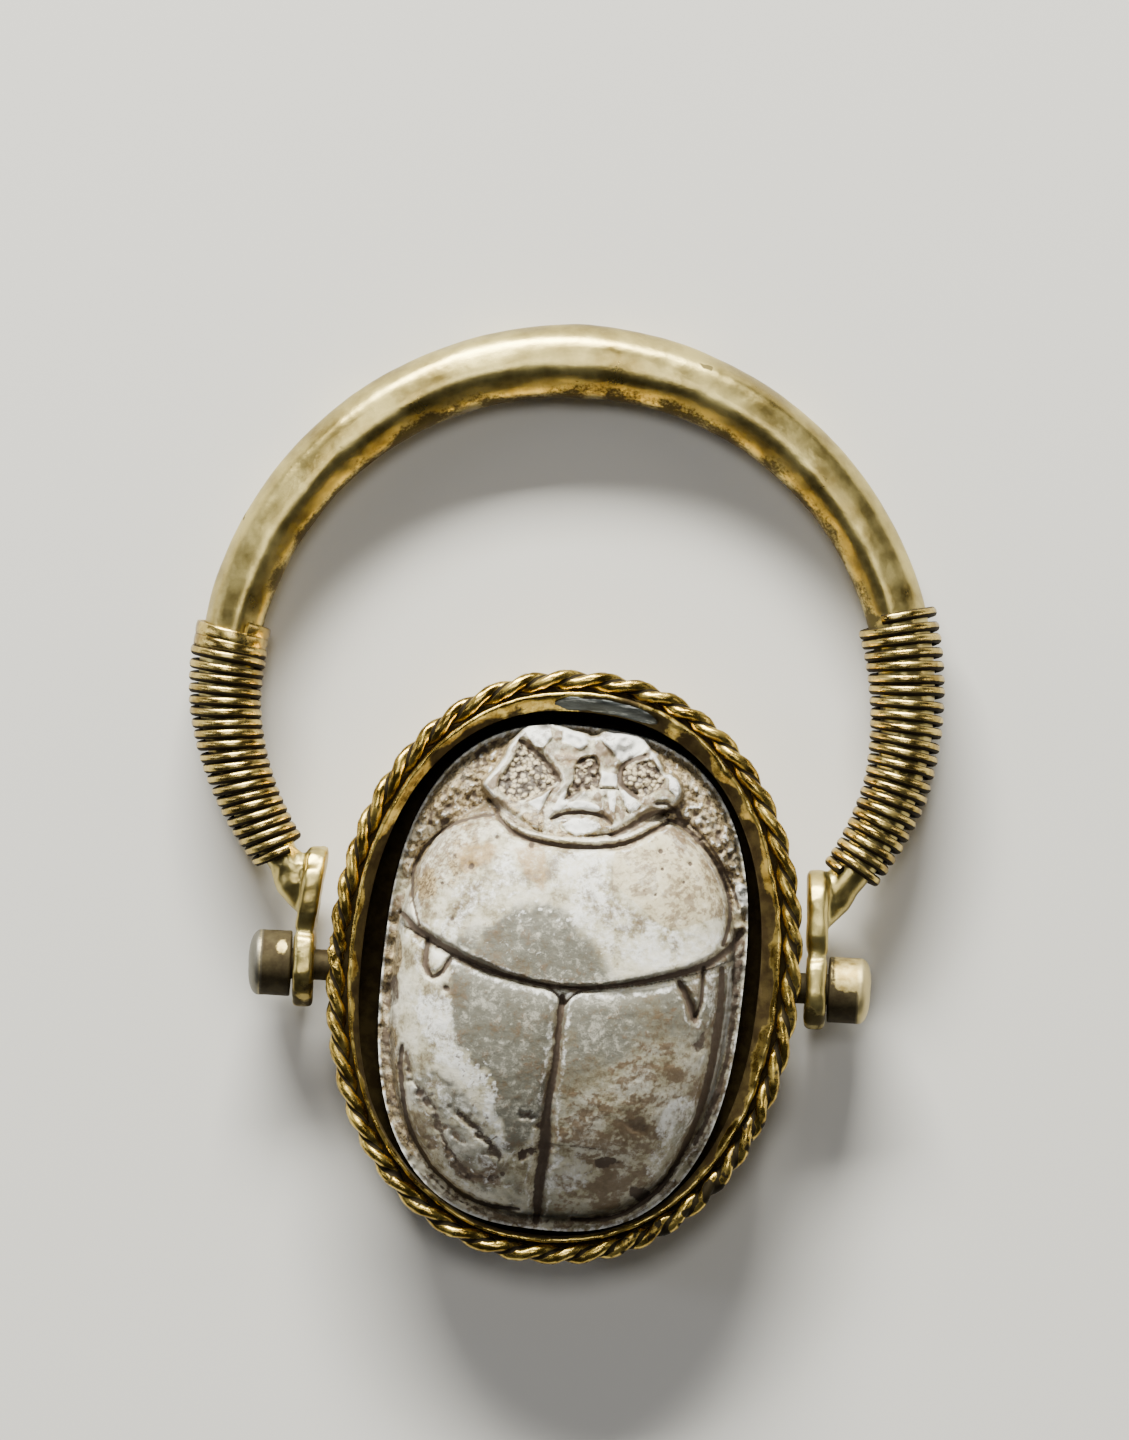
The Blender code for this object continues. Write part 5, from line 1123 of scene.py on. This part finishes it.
def hoopPiece(h):
    degs = np.concatenate([np.arange(-121.0, 0, 1.5), np.arange(1.0, 119.5, 1.5)])
    points, radii = [], []
    for deg in degs:
        side = -1 if deg < 0 else 1
        x, y = barPlace(side, abs(deg), h)
        points.append((x, y, barHeight(y, h)))
        radii.append(float(barHalf(abs(deg), h)))
    for side in (-1, 1):
        inner = h["eyeLeft"] if side < 0 else h["eyeRight"]
        last = points[0] if side < 0 else points[-1]
        end = np.array((inner + side * h["eyeThickness"] / 2, h["spacing"] - 0.05, 0.0))
        for share, half in ((0.25, 0.55), (0.5, 0.57), (0.75, 0.57), (1.0, 0.50)):
            spot = np.array(last) + (end - np.array(last)) * share
            spot[2] = barHeight(spot[1], h)
            if side < 0:
                points.insert(0, tuple(spot))
                radii.insert(0, half)
            else:
                points.append(tuple(spot))
                radii.append(half)
    wedges = []
    for side in (-1, 1):
        # the bar is beaten out into the flattened end over a longer stretch than its own width
        inner = h["eyeLeft"] if side < 0 else h["eyeRight"]
        neck = points[3] if side < 0 else points[-4]
        foot = (inner + side * 0.36, 1.72 if side < 0 else 1.95, barHeight(1.8, h))
        middle = tuple(0.5 * (np.array(neck) + np.array(foot)) + np.array((side * 0.06, 0, 0)))
        wedge = curveTube("wedge", [neck, middle, foot], [0.57, 0.60, 0.38] if side < 0 else [0.52, 0.54, 0.34], 24)
        outwards(wedge, 0.001)
        wedges.append(wedge)
    bar = curveTube("hoopBar", points, radii, 40)
    shape = readPoints(bar)
    shape[:, 2] = barHeight(shape[:, 1], h) + (shape[:, 2] - barHeight(shape[:, 1], h)) * h["flatness"]
    writePoints(bar, shape)
    outwards(bar, 0.001)
    plates = []
    for side in (-1, 1):
        plate = eyePlate(side, h)
        plates.append(plate)
        inner = h["eyeLeft"] if side < 0 else h["eyeRight"]
        bpy.ops.mesh.primitive_cylinder_add(vertices=48, radius=h["pinHole"] * mm, depth=3 * mm,
                                            location=(inner * mm, 0, h["pinHeight"] * mm),
                                            rotation=(0, math.pi / 2, 0))
        drill = bpy.context.active_object
        pickOnly(plate)
        applied(plate, "BOOLEAN", operation="DIFFERENCE", object=drill, solver="EXACT")
        bpy.data.objects.remove(drill, do_unlink=True)
    # bar and flattened ends grow together as one forged piece
    bpy.ops.object.select_all(action="DESELECT")
    for part in plates + wedges + [bar]:
        part.select_set(True)
    bpy.context.view_layer.objects.active = bar
    bpy.ops.object.join()
    applied(bar, "REMESH", mode="VOXEL", voxel_size=h["voxel"] * mm)
    applied(bar, "SMOOTH", factor=0.5, iterations=5)

    # forging facets and small dents, always cut inwards
    points = readPoints(bar)
    normals = readNormals(bar)
    dx, dy = points[:, 0] - h["centreX"], points[:, 1] - h["centreY"]
    deg = np.degrees(np.arctan2(dx, dy))
    ringward = np.hypot(dx, dy) - np.where(dx < 0, barRadius(-1, np.abs(deg), h), barRadius(1, np.abs(deg), h))
    section = np.arctan2(points[:, 2] - barHeight(points[:, 1], h), ringward)
    drift = grain(np.stack([deg * 0.05, 0 * deg, 0 * deg], 1), 1.0, 51)
    onBar = 1 - smooth(np.abs(deg), 112, 118)
    facets = (0.5 - 0.5 * np.cos(7 * section + 2.2 * drift)) * 0.030 * onBar
    dents = np.clip(grain(points, 1.3, 52) * 0.5 + grain(points, 0.5, 53) * 0.3 + 0.3, 0, 1) * 0.035
    # the flattened ends are hammered, with a nick above each pin
    onEye = smooth(np.abs(deg), 120, 124)
    hammered = np.clip(grain(points, 0.75, 55) * 0.8 + grain(points, 0.35, 56) * 0.3 + 0.35, 0, 1) * 0.055 * onEye
    lumps = np.abs(grain(points, 0.42, 58)) * smooth(-deg, 119.5, 121.5) * (1 - smooth(-deg, 124, 127)) * 0.12
    nick = np.exp(-((points[:, 1] - 0.95 - 0.12 * grain(points, 0.6, 57)) / 0.09) ** 2) * onEye
    points = points - normals * (facets + dents + hammered + lumps + 0.05 * nick)[:, None]
    writePoints(bar, points)
    nearBinding = np.exp(-((np.abs(deg) - np.where(deg < 0, 79.3, 72.1)) / 0.5) ** 2)
    inner = smooth(-ringward, 0.2, 1.0) * onBar
    soil = 0.25 * nearBinding + 0.46 * inner + 0.14 + 0.35 * grain(points, 0.8, 54) * inner
    # the lower half of each eye is painted darker
    lowEye = onEye * smooth(-points[:, 1], -0.1, 0.7) * (0.42 + 0.5 * grain(points, 0.5, 59))
    paint(bar, "grime", soil + 0.30 * nick + lowEye)
    finishPiece(bar, "forgedHoop", "hoop", hoopGold, ("hoop",))
    return bar


hoopPiece(hoopSize)
print("hoop forged")

bindingSize = dict(
    perTurn=28, startAngle=2.0, wanderDeg=0.32,
    wire=0.30, gap=0.03, turnsPerDegree=1.15,
    left=dict(fromDeg=79.2, toDeg=121.3, turns=22, node="binding_wire_left"),
    right=dict(fromDeg=72.0, toDeg=119.5, turns=22, node="binding_wire_right"),
)


def bindingPiece(side, w, h):
    own = w["left"] if side < 0 else w["right"]
    perTurn = w["perTurn"]
    count = own["turns"] * perTurn
    share = np.linspace(0, 1, count + 1)
    degs = own["fromDeg"] + 0.75 + (own["toDeg"] - own["fromDeg"] - 1.5) * share
    phase = 2 * math.pi * own["turns"] * share * (-side) + w["startAngle"]
    wander = grain(np.stack([share * own["turns"] * 0.9, np.cos(phase) * 0.4, np.sin(phase) * 0.4], 1), 1.0,
                   60 + side)
    degs = degs + w["wanderDeg"] * wander
    x, y = barPlace(side, degs, h)
    outX, outY = side * np.sin(np.radians(degs)), np.cos(np.radians(degs))
    half = barHalf(degs, h)
    lift = w["gap"] + w["wire"] / 2
    reach = half + lift
    upReach = half * h["flatness"] + lift
    px = x + outX * reach * np.cos(phase)
    py = y + outY * reach * np.cos(phase)
    base = x * 0 + barHeight(y + outY * reach * np.cos(phase), h)
    pz = base + upReach * np.sin(phase)
    thick = w["wire"] / 2 * (0.98 - 0.08 * np.clip(wander + 0.3, 0, 1))
    piece = curveTube(own["node"] + "_wound", np.stack([px, py, pz], 1), thick, 12)
    points = readPoints(piece)
    dx, dy = points[:, 0] - h["centreX"], points[:, 1] - h["centreY"]
    deg = np.degrees(np.arctan2(side * dx, dy))
    ringward = np.hypot(dx, dy) - barRadius(side, deg, h)
    upward = points[:, 2] - barHeight(points[:, 1], h)
    out = np.hypot(ringward, upward / h["flatness"]) - barHalf(deg, h) - w["gap"]
    # the turns are pressed against each other and their crests are rubbed flat
    station = np.clip(np.arange(len(points)) // 12, 0, count)
    firstTurns = (1 - smooth(station / perTurn, 1.6, 2.6)) * (side < 0)
    spread = np.where(np.abs(deg - degs[station]) < 1.6, (deg - degs[station]) * (0.02 + 0.34 * firstTurns), 0.0)
    turnBy = np.radians(-side * spread)
    dx, dy = dx * np.cos(turnBy) - dy * np.sin(turnBy), dx * np.sin(turnBy) + dy * np.cos(turnBy)
    points[:, 0], points[:, 1] = dx + h["centreX"], dy + h["centreY"]
    squash = 1 - (0.12 + 0.20 * firstTurns) * smooth(out, 0.45 * w["wire"], w["wire"])
    level = out / w["wire"]
    length = np.hypot(ringward, upward)
    scale = (length - out * (1 - squash)) / length
    unitX, unitY = dx / np.hypot(dx, dy), dy / np.hypot(dx, dy)
    points[:, 0] += unitX * ringward * (scale - 1)
    points[:, 1] += unitY * ringward * (scale - 1)
    points[:, 2] = barHeight(points[:, 1], h) + upward * scale
    writePoints(piece, points)
    rough = grain(points, 0.35, 65)
    # each turn is painted with shade on its lower side, towards the eye of the hoop, and with painted shade and some
    # soil in the gaps between the turns
    lean = np.clip((deg - degs[station]) * w["turnsPerDegree"], -1, 1)
    soil = np.maximum(1 - smooth(level, 0.70, 0.92), 0.95 * smooth(lean, -0.10, 0.30))
    paint(piece, "grime", soil * (1 - 0.6 * firstTurns) + 0.12 * rough)
    outwards(piece, 0.001)
    name = "woundWireLeft" if side < 0 else "woundWireRight"
    finishPiece(piece, name, "hoop", bindingGold, (own["node"],))
    return piece


for side in (-1, 1):
    bindingPiece(side, bindingSize, hoopSize)
print("shoulders wound")

pinSize = dict(shaft=0.45, head=0.98, gap=0.06, length=0.92, dome=0.34, wallX=6.25)


def pinPiece(side, p, h):
    inner = h["eyeLeft"] if side < 0 else h["eyeRight"]
    headStart = abs(inner) + h["eyeThickness"] + p["gap"]
    # shaft, step of the head, barrel and rounded end follow each other along the axis
    profile = [(p["wallX"], p["shaft"]), (headStart - 0.012, p["shaft"]), (headStart, p["head"] - 0.05),
               (headStart + 0.02, p["head"] - 0.015), (headStart + 0.05, p["head"])]
    profile += [(headStart + p["length"] * cut / 16, p["head"]) for cut in range(2, 17)]
    for turn in (8, 16, 24, 32, 40, 48, 56, 64, 72, 80, 86):
        profile.append((headStart + p["length"] + math.sin(math.radians(turn)) * p["dome"],
                        p["head"] * math.cos(math.radians(turn)) ** 0.7))
    piece = curveTube("pinTurned", [(side * x, 0, h["pinHeight"]) for x, _ in profile], [r for _, r in profile], 68)
    outwards(piece, 0.001)
    points = readPoints(piece)
    normals = readNormals(piece)
    dent = (grain(points, 0.7, 71 + side) * 0.8 + grain(points, 0.3, 73) * 0.2 + 0.9) * 0.020
    onHead = smooth(np.abs(points[:, 0]), headStart - 0.02, headStart + 0.05)
    points = points - normals * (dent * onHead)[:, None]
    writePoints(piece, points)
    outer = smooth(np.abs(points[:, 0]), headStart + p["length"] - 0.12, headStart + p["length"] + 0.05)
    paint(piece, "worn", outer)
    tarnish = 0.92 if side < 0 else 0.12
    gilt = np.exp(-((points[:, 0] + 8.22) / 0.17) ** 2 - ((points[:, 1] - 0.50) / 0.24) ** 2)
    # a painted shadow band runs round the right head and the lower half of its barrel is painted with a dark
    # reflection; the left one is dark all over but for a gilt spot, and both shafts are painted with shade
    shadowBand = np.exp(-((np.abs(points[:, 0]) - headStart - 0.10) / 0.12) ** 2) * (0.5 if side > 0 else 0.0)
    lower = 0.85 * smooth(-points[:, 1], -0.20, 0.20) * (1 - outer) * (side > 0)
    soil = tarnish * (1 - outer) * (1 - gilt) + shadowBand + lower + 0.8 * (1 - onHead) + 0.12 * grain(points, 0.5, 75)
    paint(piece, "grime", soil)
    metal = pinTarnished if side < 0 else pinBright
    name = "pinLeftHeaded" if side < 0 else "pinRightHeaded"
    finishPiece(piece, name, "bezel", metal, ("pin_left" if side < 0 else "pin_right",), 45)
    return piece


def silverWorn(source, name, silver):
    # the gilding is rubbed through to pale silver on the rounded end
    made = source.copy()
    made.name = name
    tree = made.node_tree
    shader = tree.nodes["Principled BSDF"]
    old = shader.inputs["Base Color"].links[0].from_socket
    worn = addNode(tree, "ShaderNodeAttribute", {"attribute_name": "worn"})
    mixed = addNode(tree, "ShaderNodeMix", {"data_type": "RGBA", 7: hexLinear(silver)}, {0: (worn, "Fac")})
    tree.links.new(old, mixed.inputs[6])
    tree.links.new(mixed.outputs[2], shader.inputs["Base Color"])
    return made


pinTarnished = silverWorn(pinGold, "tarnishedPin", "#7E7B70")
pinBright = silverWorn(pinGold, "rubbedPin", "#CDBE8C")
for side in (-1, 1):
    pinPiece(side, pinSize, hoopSize)
print("pins set")


# studio: pale floor, soft lights, camera straight above as in the photograph

studio = dict(floor="#D9D8D4", floorSize=0.6, cameraHeight=0.30, lookX=-0.322, lookY=7.493, roll=2.8, tall=42.35)

bpy.ops.mesh.primitive_plane_add(size=studio["floorSize"], location=(0, 0, -0.00002))
floor = bpy.context.active_object
floor.name = "studioFloor"
paper = bpy.data.materials.new("paleFloor")
paper.use_nodes = True
paper.node_tree.nodes["Principled BSDF"].inputs["Base Color"].default_value = hexLinear(studio["floor"])
paper.node_tree.nodes["Principled BSDF"].inputs["Roughness"].default_value = 0.9
floor.data.materials.append(paper)

world = bpy.data.worlds.new("softRoom")
bpy.context.scene.world = world
world.use_nodes = True
world.node_tree.nodes["Background"].inputs["Color"].default_value = hexLinear("#C9CDD3")
world.node_tree.nodes["Background"].inputs["Strength"].default_value = 0.09


def softLight(name, place, size, power, tint):
    bpy.ops.object.light_add(type="AREA", location=place)
    lamp = bpy.context.active_object
    lamp.name = name
    lamp.data.shape = "RECTANGLE"
    lamp.data.size = size[0]
    lamp.data.size_y = size[1]
    lamp.data.energy = power
    lamp.data.color = hexLinear(tint)[:3]
    aim = Vector((0, 0.005, 0)) - Vector(place)
    lamp.rotation_euler = aim.to_track_quat("-Z", "Y").to_euler()
    return lamp


softLight("keyFromTop", (-0.06, 0.33, 0.17), (0.24, 0.07), 5.6, "#FFFDF3")
softLight("overhead", (-0.02, 0.10, 0.42), (0.10, 0.10), 0.45, "#FFFDF8")
softLight("fillLeft", (-0.30, 0.05, 0.12), (0.04, 0.20), 0.16, "#F4F6FF")
softLight("fillRight", (0.30, 0.05, 0.12), (0.04, 0.20), 0.14, "#FFF6E8")

bpy.ops.object.camera_add(location=(studio["lookX"] * mm, studio["lookY"] * mm, studio["cameraHeight"]),
                          rotation=(0, 0, math.radians(studio["roll"])))
camera = bpy.context.active_object
camera.data.sensor_fit = "VERTICAL"
camera.data.sensor_height = 36.0
camera.data.lens = 36.0 * studio["cameraHeight"] / (studio["tall"] * mm)
camera.data.clip_start = 0.01
camera.data.clip_end = 5.0
bpy.context.scene.camera = camera
print("studio ready")
